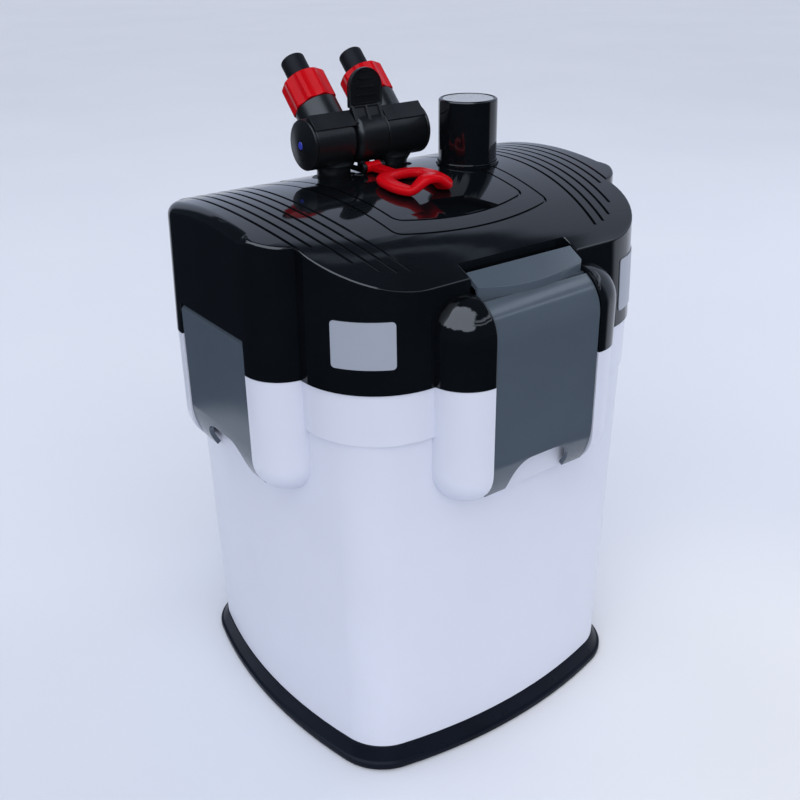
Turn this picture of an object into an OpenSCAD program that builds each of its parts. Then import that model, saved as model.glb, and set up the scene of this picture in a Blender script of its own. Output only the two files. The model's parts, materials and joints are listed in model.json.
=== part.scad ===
// Canister filter for an aquarium: a square-shouldered bucket with a clip-on motor head,
// a lift-out tap block, a priming plunger, a pump with ultraviolet lamp, and three media baskets.
// Millimetres, +Z up, origin on the floor under the middle of the bucket.
// "Outward" is the distance from the middle towards a side, o; the front is -Y, the left is -X.

/* [Bucket] */
// Half the bucket's width at its foot, at the middle of a side
body_half = 118.5; // [116:0.5:121]
// How much wider each side is at the collar than at the foot
body_flare = 3.2; // [2:0.1:4]
// Radius of the bucket's bowed sides
side_r = 340; // [300:10:400]
// Radius of the bucket's corners
body_corner_r = 34; // [32:1:36]
// Thickness of the bucket's wall
wall = 3; // [2.5:0.1:3.5]
// Height of the rubbery band round the foot
foot_h = 15; // [13:1:17]
// How far the band's lip stands out past the bucket
foot_lip = 6; // [4:0.5:7]
// Height of the joint between bucket and head
rim_z = 269.5; // [268:0.5:271]
// Height at which the thicker collar starts
collar_z = 238; // [236:1:240]

/* [Head] */
// Half the head's width between its lobes
head_half = 118.7; // [118:0.1:119]
// Radius of the head's corners
head_corner_r = 51.8; // [50:0.1:54]
// Half the width of a lobe
lobe_half = 65.5; // [64:0.5:67]
// Distance from the middle to a lobe's face
lobe_face = 140; // [139.5:0.1:141]
// Radius of a lobe's corners and of its rounded end
lobe_r = 24; // [22:1:25]
// Height of the deck's ridge
deck_z = 353.9; // [353:0.1:355]
// Radius of the vaulted deck
deck_r = 258; // [250:1:270]
// Height of the rounded shoulder over the front and back lobes
shoulder_z = 318; // [316:1:319]
// Number of grooves on each side of the deck
groove_count = 6; // [2:1:6]
// Distance from the middle to the innermost groove
groove_x = 85.2; // [84:0.1:87]
// Spacing of the grooves
groove_pitch = 7.6; // [7:0.1:7.8]
// Bow radius of the grooves
groove_r = 332; // [320:1:360]

/* [Clips] */
// Width of a clip
clip_w = 78; // [76:1:78]
// Distance from the middle to a clip's outer face
clip_face = 139; // [138.6:0.1:139.4]
// Thickness of a clip
clip_t = 3; // [2.6:0.1:3]
// Height of the two side clips' top edge
side_clip_top = 288; // [287:0.5:288]
// Height of a clip's lowest edge
clip_foot_z = 196; // [195:0.5:198]
// Height of the finger arch in a clip
arch_z = 216; // [214:1:220]
// Half the width of the finger arch
arch_half = 23; // [20:1:24]

/* [Tap block] */
// Middle of the tap block, left to right
tap_x = -5.3; // [-6:0.1:-5]
// Distance of the taps' common axis behind the middle
tap_y = 34; // [32:0.5:36]
// Height of the taps' common axis
tap_z = 373.5; // [373:0.5:375]
// Radius of the two tap barrels
barrel_r = 15.5; // [15:0.1:16]
// Half the length of the two barrels together
barrel_half = 42; // [41:0.5:43]
// Distance from the block's middle to each spout
spout_x = 22.25; // [22:0.05:22.5]
// Lean of the spouts from upright, towards the back
spout_lean = 45; // [40:1:47]
// Outer radius of the hose tails
tail_r = 8; // [7.5:0.1:8]
// Length of hose tail that stands out of a nut
tail_out = 17; // [15:1:20]

/* [Primer] */
// Place of the priming plunger, left to right
primer_x = 56; // [55:0.5:57]
// Place of the priming plunger, front to back
primer_y = 2; // [0:0.5:3]
// Radius of the plunger's cap
primer_r = 19; // [18.5:0.1:19.2]
// Height of the plunger's top at rest
primer_top = 395; // [394:0.5:396]
// Travel of the plunger
primer_stroke = 30; // [25:1:30]

/* [Inside] */
// Place of the pump's shaft, left to right
pump_x = 2; // [0:0.5:3]
// Place of the pump's shaft, front to back
pump_y = -35; // [-37:0.5:-34]
// Place of the ultraviolet lamp, left to right
lamp_x = -55; // [-57:0.5:-53]
// Place of the ultraviolet lamp, front to back
lamp_y = -45; // [-47:0.5:-43]
// Half the width of a media basket
basket_half = 100; // [96:1:101]
// Height of a media basket
basket_h = 60; // [56:1:60]

/* [Hidden] */
$fn = 64;
eps = 0.01;

head_centre = head_half - head_corner_r;      // centres of the head's corner arcs
head_wall = 3;
collar_inset = 1.2;
land_half = 112.5;                             // inside of the bucket's rim, where the seal runs
floor_z = 8;
pad_z = 0.6;                                   // the pads lift the band this far off the floor
vault_axis_z = deck_z - deck_r;
channel_gap = 0.6;                             // between a clip's edge and its channel
channel_floor = 127.5;
front_pivot = [122, 310];                      // clip pivots, as [outward, height]
side_pivot = [133, 283];
front_pin_r = 1.9;
side_pin_r = 1.6;
pin_clearance = 0.07;
pin_half = 46;
socket_r = 14.2;
socket_top = 25.3;                               // along a spout from the taps' axis
nut_bottom = 25.6;
nut_h = 20;
nut_r = 15;
thread_r = 12;
tail_flange_a = 41;                            // foot of a hose tail's flange along a spout
stub_r = 10.8;
stub_foot_z = 322;
plate_z = rim_z + 0.1;
plate_t = 4;
spigot_half = 111.5;
spigot_z = 252;
lock_x = -7.8;                                 // middle of the lock ring, left to right
lock_pivot = [19.2, 357];                      // the lock ring's pin, as [y, z]
black = [0.03, 0.035, 0.045];
grey = [0.26, 0.3, 0.34];
red = [0.75, 0.03, 0.05];

// ---- outlines -------------------------------------------------------------------------

// Bowed-side square: half-width b at the middle of a side, side radius R, corner radius rc.
function bow_centre(b, R, rc) = let (k = b - R)
  (2 * k + sqrt(4 * k * k - 8 * (k * k - (R - rc) ^ 2))) / 4;
function bow_quarter(b, R, rc, n) =
  let (k = b - R, c = bow_centre(b, R, rc), th = atan2(c, c - k))
  concat([for (i = [0:n]) let (t = -th + 2 * th * i / n) [k + R * cos(t), R * sin(t)]],
         [for (i = [1:n - 1]) let (t = th + (90 - 2 * th) * i / n) [c + rc * cos(t), c + rc * sin(t)]]);
function turned(p, a) = [p[0] * cos(a) - p[1] * sin(a), p[0] * sin(a) + p[1] * cos(a)];
function bow_square(b, R, rc, n = 8) =
  [for (q = [0:3]) for (p = bow_quarter(b, R, rc, n)) turned(p, 90 * q)];

module bowed(b, rc = body_corner_r) polygon(bow_square(b, side_r, rc));

// Straight-sided square with round corners about the head's corner centres.
module round_square(half, c = head_centre) {
  square([2 * half, 2 * c], center = true);
  square([2 * c, 2 * half], center = true);
  for (x = [-c, c], y = [-c, c]) translate([x, y]) circle(half - c);
}

// Plan of one lobe, reaching outward along -Y.
module lobe_plan(inset = 0) {
  r = lobe_r - inset;
  face = lobe_face - inset;
  half = lobe_half - inset;
  translate([-half, -face + r]) square([2 * half, face - r - 60]);
  translate([-half + r, -face]) square([2 * half - 2 * r, r + 5]);
  for (s = [-1, 1]) translate([s * (half - r), -face + r]) circle(r);
}

// An outline drawn as [outward, height], stretched w wide across a side.
module across(w) rotate([90, 0, -90]) linear_extrude(w, center = true) children();

// An outline drawn as [along the side, height], pushed outward between two distances.
module outward(from, to)
  translate([0, -from, 0]) rotate([90, 0, 0]) linear_extrude(to - from) children();

module on_side(a) rotate([0, 0, a]) children();

module vault(lower = 0)
  translate([0, 0, vault_axis_z]) rotate([0, 90, 0])
    cylinder(r = deck_r - lower, h = 400, center = true, $fn = 128);

// Flares a bowed outline from half-width b0 at z0 to b1 at z1.
module flared(b0, b1, z0, z1, rc = body_corner_r)
  translate([0, 0, z0]) linear_extrude(z1 - z0, scale = b1 / b0) bowed(b0, rc);

// ---- bucket ---------------------------------------------------------------------------

// The lobe's ball-ended column on the bucket, below the rim.
module bucket_lobe() {
  end_z = 200;
  intersection() {
    translate([0, 0, end_z - 5]) linear_extrude(rim_z - end_z + 5) lobe_plan(0.4);
    across(200) {
      translate([90, end_z]) square([lobe_face - lobe_r - 90, rim_z - end_z]);
      translate([90, end_z + lobe_r]) square([lobe_face - 90, rim_z - end_z - lobe_r]);
      translate([lobe_face - 0.4 - lobe_r, end_z + lobe_r]) circle(lobe_r);
    }
    outward(90, 160) {
      translate([-lobe_half + lobe_r, end_z]) square([2 * (lobe_half - lobe_r), rim_z - end_z]);
      translate([-lobe_half, end_z + lobe_r]) square([2 * lobe_half, rim_z - end_z - lobe_r]);
      for (s = [-1, 1]) translate([s * (lobe_half - lobe_r), end_z + lobe_r]) circle(lobe_r);
    }
  }
}

// The parts of the lobes that stand up on both sides of the clips' channels.
module channel_cheeks() color([0.86, 0.87, 0.93])
  for (a = [0:90:270], s = [0, 1]) on_side(a) mirror([s, 0, 0]) intersection() {
    bucket_lobe();
    translate([clip_w / 2 + channel_gap, -150, 190]) cube([60, 150 - channel_floor, 90]);
  }

module canister() color([0.86, 0.87, 0.93]) difference() {
  union() {
    translate([0, 0, 4]) linear_extrude(foot_h - 4) bowed(body_half - 3);
    flared(body_half, body_half + body_flare, foot_h, collar_z + 4);
    translate([0, 0, collar_z]) linear_extrude(rim_z - collar_z) round_square(head_half - collar_inset);
    for (a = [0:90:270]) on_side(a) intersection() {
      bucket_lobe();
      across(200) translate([90, 190]) square([channel_floor - 90, 90]);
    }
    for (a = [0:90:270]) on_side(a) across(68) polygon([[127, 243], [134, 243], [134, 249], [127, 249]]);
  }
  difference() {
    flared(body_half - wall - 3, body_half - wall + body_flare, floor_z, collar_z);
    // posts that carry the lowest basket
    for (x = [-80, 80], y = [-80, 80]) translate([x, y, floor_z - 1])
      cylinder(r = 7, h = basket_z(0) - floor_z + 0.9);
  }
  translate([0, 0, collar_z - eps]) linear_extrude(rim_z - collar_z + 1) round_square(land_half);
}

module foot_band() color([0.06, 0.07, 0.1]) difference() {
  lip_h = 4.6;
  union() {
    translate([0, 0, pad_z]) linear_extrude(lip_h) bowed(body_half + foot_lip, body_corner_r + 5);
    flared(body_half + foot_lip - 1.6, body_half + 0.4, pad_z + lip_h, foot_h, body_corner_r + 4);
  }
  translate([0, 0, -1]) linear_extrude(foot_h + 2) bowed(body_half - 2.9);
}

module foot_pads() color([0.05, 0.05, 0.05])
  for (x = [-82, 82], y = [-82, 82]) translate([x, y, 0]) cylinder(r = 9, h = 4);

// ---- head -----------------------------------------------------------------------------

module head_lobe_front() intersection() {
  r = 20;
  top_r = 27;
  translate([0, 0, rim_z]) linear_extrude(shoulder_z - rim_z) lobe_plan();
  across(200) {
    translate([100, rim_z - 1]) square([lobe_face - 100, shoulder_z - r - rim_z + 1]);
    translate([100, rim_z - 1]) square([lobe_face - r - 100, shoulder_z - rim_z + 1]);
    translate([lobe_face - r, shoulder_z - r]) circle(r);
  }
  outward(90, 160) {
    translate([-lobe_half, rim_z - 1]) square([2 * lobe_half, shoulder_z - top_r - rim_z + 1]);
    translate([-lobe_half + top_r, rim_z - 1]) square([2 * (lobe_half - top_r), shoulder_z - rim_z + 1]);
    for (s = [-1, 1]) translate([s * (lobe_half - top_r), shoulder_z - top_r]) circle(top_r);
  }
}

// Pocket behind a front clip: the notch in the deck, the room for its swing, the face channel.
module front_pocket() across(clip_w + 2 * channel_gap)
  polygon([[105.7, 400], [105.7, 323], [100.5, 323], [100.5, 299], [channel_floor, 299],
           [channel_floor, rim_z - 1], [160, rim_z - 1], [160, 400]]);

module side_pocket() across(clip_w + 2 * channel_gap)
  translate([126, rim_z - 1]) square([34, 290 - rim_z + 1]);

module groove_plan() intersection() {
  union() for (s = [-1, 1], i = [0:groove_count - 1]) {
    r = groove_r;
    x = groove_x + i * groove_pitch;
    translate([s * (x - r), 0]) difference() {
      circle(r + 0.5, $fn = 180);
      circle(r - 0.5, $fn = 180);
    }
  }
  union() {
    for (s = [-1, 1]) translate([s * 110 - 30, -head_centre]) square([60, 2 * head_centre]);
    for (x = [-head_centre, head_centre], y = [-head_centre, head_centre]) translate([x, y]) circle(36);
  }
}

// Outline round the taps: bowed front, sides that draw in towards the front, bowed back.
// p holds the side's half-width at y = -45, its slope, the front's reach and bow radius,
// the corner radius and the reach of the back.
function panel_half(p) = let (
    slope = atan(p[1]), r = p[4], k = -p[2] + p[3],
    cy = -p[2] + 1.5 * r + 3, cx = p[0] + p[1] * (cy + 45) - r / cos(slope),
    meet = atan2(cx, k - cy), far = p[5] - 3 * r)
  concat([for (i = [0:6]) let (a = meet * i / 6) [p[3] * sin(a), k - p[3] * cos(a)]],
         [for (i = [0:6]) let (t = meet - 90 + (90 - slope - meet) * i / 6)
           [cx + r * cos(t), cy + r * sin(t)]],
         [[p[0] + p[1] * (far + 45), far], [p[0] + p[1] * (far + 45) - 3 * r, p[5] - r], [0, p[5]]]);
module panel_plan(p) {
  half = panel_half(p);
  n = len(half);
  polygon(concat(half, [for (i = [n - 2:-1:1]) [-half[i][0], half[i][1]]]));
}

module panel_line(p) difference() {
  panel_plan(p);
  panel_plan([p[0] - 1, p[1], p[2] - 1, p[3] - 1, p[4] - 1, p[5] - 1]);
}

// Finger scoop in front of the lock ring, with one sloping side.
module scoop_cut() translate([0, -57.5, deck_at(-57.5)]) rotate([13, 0, 0]) intersection() {
  translate([0, 0, -5]) linear_extrude(16)
    polygon([[-14, 11.5], [-21.5, -12], [24, -10.5], [11.5, 8.5]]);
  rotate([0, 0, -14]) rotate([90, 0, 0]) linear_extrude(60, center = true)
    polygon([[-18, 0.8], [-6.6, -5.5], [40, -5.5], [40, 12], [-18, 12]]);
}

function deck_at(y) = vault_axis_z + sqrt(deck_r * deck_r - y * y);

module head_form() {
  intersection() {
    vault();
    translate([0, 0, rim_z]) linear_extrude(120) {
      round_square(head_half);
      for (a = [90, -90]) rotate(a) lobe_plan();
    }
  }
  for (a = [0, 180]) on_side(a) head_lobe_front();
}

module head_hollow() {
  difference() {
    intersection() {
      vault(head_wall);
      translate([0, 0, rim_z - 1]) linear_extrude(120) round_square(head_half - head_wall);
    }
    for (a = [0, 180]) on_side(a) across(clip_w + 8) translate([97.5, 296]) square([60, 100]);
    // solid ground under the finger scoop
    translate([-28, -76, deck_at(-66) - 9]) cube([58, 36, 40]);
  }
  intersection() {
    vault(head_wall);
    translate([0, 0, 293]) linear_extrude(100) for (a = [90, -90]) rotate(a) lobe_plan(head_wall);
    translate([-200, -60, 0]) cube([400, 120, 400]);
  }
}

module screw_bosses()
  for (p = screw_places) translate([p[0], p[1], plate_z + plate_t + 0.1]) difference() {
    cylinder(r = 5, h = 100);
    translate([0, 0, -1]) cylinder(r = 1.6, h = 13);
  }

module head_cover() color(black) difference() {
  head_form();
  difference() {
    head_hollow();
    screw_bosses();
  }
  for (a = [0, 180]) on_side(a) {
    front_pocket();
    across(2 * pin_half) translate(front_pivot) circle(front_pin_r);
  }
  for (a = [90, -90]) on_side(a) {
    side_pocket();
    across(2 * pin_half) translate(side_pivot) circle(side_pin_r);
  }
  difference() {
    translate([0, 0, 300]) linear_extrude(100) {
      groove_plan();
      panel_line([60.4, 0.078, 82.8, 195, 8, 92]);
      panel_line([49.8, 0.055, 70.3, 131, 8, 80]);
    }
    vault(1);
  }
  scoop_cut();
  for (s = [-1, 1]) translate([tap_x + s * spout_x, tap_y, 320]) cylinder(r = 14.1, h = 60);
  translate([primer_x, primer_y, 320]) cylinder(r = primer_r + 1.6, h = 60);
  translate([gland_x, 100, gland_z]) rotate([-90, 0, 0]) cylinder(r = gland_r + 0.1, h = 60);
}

// Floor of the dry motor space, with the spigot that plugs the bucket and the rotor's well.
module head_plate() color([0.1, 0.1, 0.11]) difference() {
  well_r = 14;
  union() {
    translate([0, 0, plate_z]) linear_extrude(plate_t) round_square(head_half - head_wall - 0.2);
    translate([0, 0, spigot_z]) linear_extrude(plate_z - spigot_z + 1) round_square(spigot_half);
    translate([pump_x, pump_y, plate_z]) cylinder(r = well_r + 2, h = 48);
    translate([lamp_x, lamp_y, plate_z]) cylinder(r = 20, h = 12);
  }
  difference() {
    translate([0, 0, spigot_z - 1]) linear_extrude(plate_z - spigot_z + 1) round_square(spigot_half - 7);
    translate([tap_x - spout_x, tap_y, spigot_z]) cylinder(r = 18, h = 30);
    translate([tap_x + spout_x, tap_y, spigot_z]) cylinder(r = 18, h = 30);
    translate([pump_x, pump_y, spigot_z - 2]) cylinder(r = 36, h = 30);
  }
  translate([0, 0, 257]) linear_extrude(4.2) difference() {
    round_square(spigot_half + 2);
    round_square(spigot_half - 3);
  }
  translate([pump_x, pump_y, spigot_z]) cylinder(r = well_r, h = 63);
  translate([pump_x, pump_y, spigot_z]) cylinder(r = 27, h = plate_z - spigot_z - 1);
  for (s = [-1, 1]) translate([tap_x + s * spout_x, tap_y, 240]) cylinder(r = 11, h = 60);
  translate([lamp_x, lamp_y, 240]) cylinder(r = 14.2, h = 60);
  for (p = screw_places) translate([p[0], p[1], plate_z - 1]) cylinder(r = 1.7, h = 8);
  translate([primer_x, primer_y, 240]) cylinder(r = 5, h = 60);
}

screw_places = [for (s = [-1, 1]) for (p = [[95, 70], [70, 95]]) for (t = [-1, 1]) [s * p[0], t * p[1]]];

module head_seal() color([0.55, 0.12, 0.1]) translate([0, 0, 257.1]) linear_extrude(4) difference() {
  round_square(land_half);
  round_square(spigot_half - 2.9);
}

module plate_screws() color("silver") for (p = screw_places) translate([p[0], p[1], plate_z - 3])
  union() {
    cylinder(r = 3.2, h = 2.9);
    cylinder(r = 1.6, h = 18);
  }

// ---- clips ----------------------------------------------------------------------------

module arch_cut() outward(100, 160) {
  r = 14;
  translate([-arch_half, 180]) square([2 * arch_half, arch_z - r - 180]);
  translate([-arch_half + r, 180]) square([2 * (arch_half - r), arch_z - 180]);
  for (s = [-1, 1]) translate([s * (arch_half - r), arch_z - r]) circle(r);
}

curl_r = 48.3;
curl_z = 222;
function arc_pts(c, r, a0, a1, n) =
  [for (i = [0:n]) let (a = a0 + (a1 - a0) * i / n) [c[0] + r * cos(a), c[1] + r * sin(a)]];
curl_end = asin((curl_z - clip_foot_z) / curl_r);

// Face and curled foot of a clip, closed at the top by the points given.
function clip_outline(top_out, top_in) =
  let (c = [clip_face - curl_r, curl_z])
  concat(arc_pts(c, curl_r, -curl_end, 0, 8), top_out, top_in,
         arc_pts(c, curl_r - clip_t, 0, -curl_end, 8));

shoulder_r = 24.6;
plate_bow_r = 152;                             // bow of the front edge of the clip's upper plate
plate_reach = 126.8;                           // how far out that edge comes in its middle
shoulder_c = [clip_face - shoulder_r, 293];

module hook() across(60) polygon([[137, 235], [131.5, 238], [131.5, 242], [137, 242]]);

// Front or back clip: a plate that lies in the deck's notch, a step, a shoulder and the face.
module tall_clip() difference() {
  union() {
    across(clip_w) polygon(clip_outline(
      arc_pts(shoulder_c, shoulder_r, 0, 62, 10), arc_pts(shoulder_c, shoulder_r - clip_t, 62, 0, 10)));
    intersection() {
      across(clip_w) polygon([[112, 327.7], [132, 315.9], [132, 309], [121, 312.2],
                              [119.6, 319.6], [110.8, 324.6]]);
      translate([0, plate_bow_r - plate_reach, 300]) cylinder(r = plate_bow_r, h = 40, $fn = 128);
    }
    across(clip_w) translate(front_pivot) circle(4.2);
    across(clip_w) translate([front_pivot[0] - 2, front_pivot[1]]) square([4, 5]);
    hook();
  }
  across(100) translate(front_pivot) circle(front_pin_r + pin_clearance);
  arch_cut();
}

// Left or right clip: a plain face with a bevelled top edge.
module short_clip() difference() {
  inner = clip_face - clip_t;
  union() {
    across(clip_w) polygon(clip_outline(
      [[clip_face, side_clip_top - 2], [clip_face - 1.8, side_clip_top]], [[inner, side_clip_top]]));
    across(clip_w) translate(side_pivot) circle(3.4);
    hook();
  }
  across(100) translate(side_pivot) circle(side_pin_r + pin_clearance);
  arch_cut();
}

module clip_front() color(grey) tall_clip();
module clip_back() color(grey) on_side(180) tall_clip();
module clip_left() color(grey) on_side(-90) short_clip();
module clip_right() color(grey) on_side(90) short_clip();

module clip_pins() color("silver") {
  for (a = [0, 180]) on_side(a) across(2 * pin_half) translate(front_pivot) circle(front_pin_r);
  for (a = [90, -90]) on_side(a) across(2 * pin_half) translate(side_pivot) circle(side_pin_r);
}

// ---- tap block ------------------------------------------------------------------------

// Places children in a spout's frame: +Z along the spout, from the taps' axis.
module at_spout(s) translate([tap_x + s * spout_x, tap_y, tap_z]) rotate([-spout_lean, 0, 0]) children();

module along_x(x0, x1)
  translate([tap_x + x0, tap_y, tap_z]) rotate([0, 90, 0]) linear_extrude(x1 - x0) children();

lever_half = 11;
lever_gap = 0.3;
ball_r = 10;
flow_r = 6.5;
hub_r = 15.8;

module port_sockets() color([0.12, 0.12, 0.13]) difference() {
  union() {
    for (s = [-1, 1]) translate([tap_x + s * spout_x, tap_y, plate_z + plate_t]) {
      cylinder(r = 14, h = 350.6 - plate_z - plate_t);
      cylinder(r = 17, h = 3);
    }
  }
  for (s = [-1, 1]) translate([tap_x + s * spout_x, tap_y, plate_z]) {
    cylinder(r = 9, h = 100);
    translate([0, 0, stub_foot_z - plate_z - 0.5]) cylinder(r = stub_r + 0.1, h = 60);
  }
}

module tap_half(s) {
  x_in = lever_half + lever_gap;
  along_x(s < 0 ? -barrel_half : x_in, s < 0 ? -x_in : barrel_half) circle(barrel_r);
  at_spout(s) cylinder(r = socket_r, h = socket_top);
  at_spout(s) cylinder(r = thread_r, h = tail_flange_a);
  translate([tap_x + s * spout_x, tap_y, stub_foot_z]) cylinder(r = stub_r, h = tap_z - stub_foot_z);
  // flat ledge on the front of the sockets
  translate([tap_x, tap_y, tap_z]) rotate([-spout_lean, 0, 0])
    translate([s < 0 ? -barrel_half : 12, -barrel_r - 0.9, -1.6])
      cube([barrel_half - 12, barrel_r, 11.4]);
}

// Two ball-tap barrels in one moulding, joined behind the lever's hub.
module tap_body() color(black) difference() {
  union() {
    tap_half(-1);
    tap_half(1);
    // bridge behind the hub
    translate([tap_x - 14, tap_y + 14, tap_z - 17]) cube([28, 5, 20]);
    for (s = [-1, 1]) translate([tap_x + s * 12.9 - 1.5, tap_y - 2, tap_z - 17]) cube([3, 20, 16]);
    // two lugs that carry the lock ring's pin
    for (x = [lock_x - 8.2, lock_x + 5.6]) {
      translate([x, lock_pivot[0], lock_pivot[1] - 3]) cube([2.6, 29, 6]);
      translate([x, lock_pivot[0], lock_pivot[1]]) rotate([0, 90, 0]) cylinder(r = 3, h = 2.6);
    }
  }
  for (s = [-1, 1]) {
    translate([tap_x + s * spout_x, tap_y, tap_z]) sphere(r = ball_r + 0.1);
    at_spout(s) cylinder(r = flow_r, h = 80);
    translate([tap_x + s * spout_x, tap_y, stub_foot_z - 1])
      cylinder(r = flow_r, h = tap_z - stub_foot_z);
    for (z = [328, 338]) translate([tap_x + s * spout_x, tap_y, z]) rotate_extrude()
      translate([stub_r - 0.9, 0]) circle(1.3, $fn = 24);
  }
  // bores for the spindles and the open ends for the caps
  along_x(-spout_x, spout_x) circle(5.1);
  along_x(-barrel_half - 1, -barrel_half + 4) circle(12);
  along_x(barrel_half - 4, barrel_half + 1) circle(12);
  // clear the lever hub
  along_x(-lever_half - lever_gap, lever_half + lever_gap) circle(hub_r + 0.7);
  translate([lock_x, lock_pivot[0], lock_pivot[1]]) rotate([0, 90, 0])
    cylinder(r = 1.5, h = 60, center = true);
}

module tap_stub_seals() color([0.05, 0.05, 0.05])
  for (s = [-1, 1], z = [328, 338]) translate([tap_x + s * spout_x, tap_y, z]) rotate_extrude()
    translate([stub_r - 0.9, 0]) circle(1.2, $fn = 24);

// Domed plug in the end of a barrel, with a seat for its colour mark.
module tap_cap(s)
  translate([tap_x + s * barrel_half, tap_y, tap_z]) rotate([0, s * 90, 0]) difference() {
    dome_r = 36;
    union() {
      translate([0, 0, -3.9]) cylinder(r = 11.9, h = 4);
      intersection() {
        cylinder(r = barrel_r + 0.6, h = 6);
        translate([0, 0, 4 - dome_r]) sphere(r = dome_r, $fn = 96);
      }
    }
    translate([0, 0, 3]) cylinder(r = 2.6, h = 5);
  }
module tap_cap_left() color(black) tap_cap(-1);
module tap_cap_right() color(black) tap_cap(1);

module flow_mark(s) translate([tap_x + s * (barrel_half + 3), tap_y, tap_z]) rotate([0, s * 90, 0])
  cylinder(r = 2.5, h = 1.1);
module flow_mark_left() color([0.15, 0.2, 0.75]) flow_mark(-1);
module flow_mark_right() color(red) flow_mark(1);

// Hub between the barrels with spindles to both balls, arms and a ribbed thumb tongue.
module valve_lever() color(black) {
  difference() {
    along_x(-lever_half, lever_half) circle(hub_r);
    along_x(-lever_half - 1, -lever_half + 3) difference() { circle(14); circle(7); }
    along_x(lever_half - 3, lever_half + 1) difference() { circle(14); circle(7); }
  }
  along_x(-spout_x + ball_r - 2, -lever_half + 0.1) circle(5);
  along_x(lever_half - 0.1, spout_x - ball_r + 2) circle(5);
  translate([tap_x, tap_y, tap_z]) {
    for (x = [-lever_half, -1, lever_half - 2])
      lever_web(x, 2, [[-10.8, 11.1], [-5.6, 20.6], [-3, 20.6], [-3, 14]]);
    lever_web(-lever_half, 2 * lever_half, [[-8.2, 12.8], [-4.4, 20.6], [-3, 20.6], [-5, 13]]);
    translate([0, -3, 0]) rotate([90, 0, 0]) linear_extrude(2.2) tongue_plan(0);
    translate([0, -5.2, 0]) rotate([90, 0, 0]) linear_extrude(1) difference() {
      tongue_plan(0);
      tongue_plan(1.6);
    }
    for (i = [0:4]) translate([-9.3 + 1.5 * i, -6.1, 20.8 + 5 * i]) cube([18.6 - 3 * i, 1.4, 1.1]);
  }
}

// Upright sheet across the lever, drawn as [y, z] from the taps' axis.
module lever_web(x, w, outline)
  translate([x, 0, 0]) rotate([90, 0, 90]) linear_extrude(w) polygon(outline);

module tongue_plan(inset) {
  half = 12.4 - inset;
  translate([-half, 19.5 + inset]) square([2 * half, 11.1 - inset]);
  translate([0, 30.6]) circle(half);
}

module valve_ball(s) difference() {
  translate([tap_x + s * spout_x, tap_y, tap_z]) sphere(r = ball_r, $fn = 64);
  at_spout(s) translate([0, 0, -1]) cylinder(r = flow_r, h = 40);
  translate([tap_x + s * spout_x, tap_y, tap_z - 40]) cylinder(r = flow_r, h = 40);
  // slot for the spindle, on the side of the lever
  inner = spout_x - ball_r + 2;
  outer = spout_x - ball_r - 10;
  along_x(s < 0 ? -inner : outer, s < 0 ? -outer : inner) circle(5);
}
module valve_ball_left() color("white") valve_ball(-1);
module valve_ball_right() color("white") valve_ball(1);

// Nine ribs with wide shallow flutes between them.
module nut_outline() difference() {
  circle(nut_r);
  for (i = [0:8]) rotate(40 * i + 13) translate([nut_r + 11.8, 0]) circle(13, $fn = 96);
}
module union_nut(s) at_spout(s) difference() {
  union() {
    translate([0, 0, nut_bottom]) linear_extrude(nut_h - 0.8) nut_outline();
    translate([0, 0, nut_bottom + nut_h - 0.8]) cylinder(r1 = nut_r - 1.3, r2 = nut_r - 2, h = 0.8);
  }
  translate([0, 0, nut_bottom - 1]) cylinder(r = thread_r + 0.08, h = nut_h - 1.4);
  cylinder(r = tail_r + 0.3, h = 80);
}
module union_nut_left() color(red) union_nut(-1);
module union_nut_right() color(red) union_nut(1);

module hose_tail(s) at_spout(s) difference() {
  top = nut_bottom + nut_h + tail_out;
  union() {
    translate([0, 0, tail_flange_a]) cylinder(r = 11.4, h = 2);
    translate([0, 0, tail_flange_a]) cylinder(r = tail_r - 0.3, h = 6);
    translate([0, 0, nut_bottom + nut_h + 0.4]) cylinder(r = tail_r, h = tail_out - 1.2);
    translate([0, 0, top - 0.8]) cylinder(r1 = tail_r, r2 = tail_r - 0.8, h = 0.8);
  }
  cylinder(r = 6, h = 100);
}
module hose_tail_left() color([0.06, 0.06, 0.07]) hose_tail(-1);
module hose_tail_right() color([0.06, 0.06, 0.07]) hose_tail(1);

// ---- lock ring ------------------------------------------------------------------------

ring_centre = [lock_x, -25.5];
ring_half = [17.1, 16.4];
ring_w = 4.4;
ring_h = 3;
ring_steps = 60;
ring_sides = 12;

// Centre line of the ring: a rounded square over the deck, arched up at its free end.
function rounded(v) = sign(v) * abs(v) ^ 0.77;
function ring_xy(t) = ring_centre + [ring_half[0] * rounded(cos(t)), ring_half[1] * rounded(sin(t))];
function ring_arch(t) = let (d = abs(t - 266)) d < 44 ? 3.6 * (1 + cos(d * 180 / 44)) : 0;
function ring_point(t) = let (p = ring_xy(t)) [p[0], p[1], deck_at(p[1]) + 0.7 + ring_h + ring_arch(t)];
function ring_ring(i) = let (
    t = 360 * i / ring_steps, c = ring_point(t), q = ring_xy(t + 3), p = ring_xy(t - 3),
    d = [q[0] - p[0], q[1] - p[1]], n = [d[1], -d[0]] / norm(d))
  [for (j = [0:ring_sides - 1]) let (a = 360 * j / ring_sides)
    [c[0] + n[0] * ring_w * rounded(cos(a)), c[1] + n[1] * ring_w * rounded(cos(a)),
     c[2] + ring_h * rounded(sin(a))]];

module ring_loop() {
  pts = [for (i = [0:ring_steps - 1]) each ring_ring(i)];
  m = ring_sides;
  tris = [for (i = [0:ring_steps - 1]) for (j = [0:m - 1])
    let (a = i * m + j, b = i * m + (j + 1) % m, c = ((i + 1) % ring_steps) * m + (j + 1) % m,
         d = ((i + 1) % ring_steps) * m + j) each [[a, b, c], [a, c, d]]];
  polyhedron(pts, tris);
}

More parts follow.
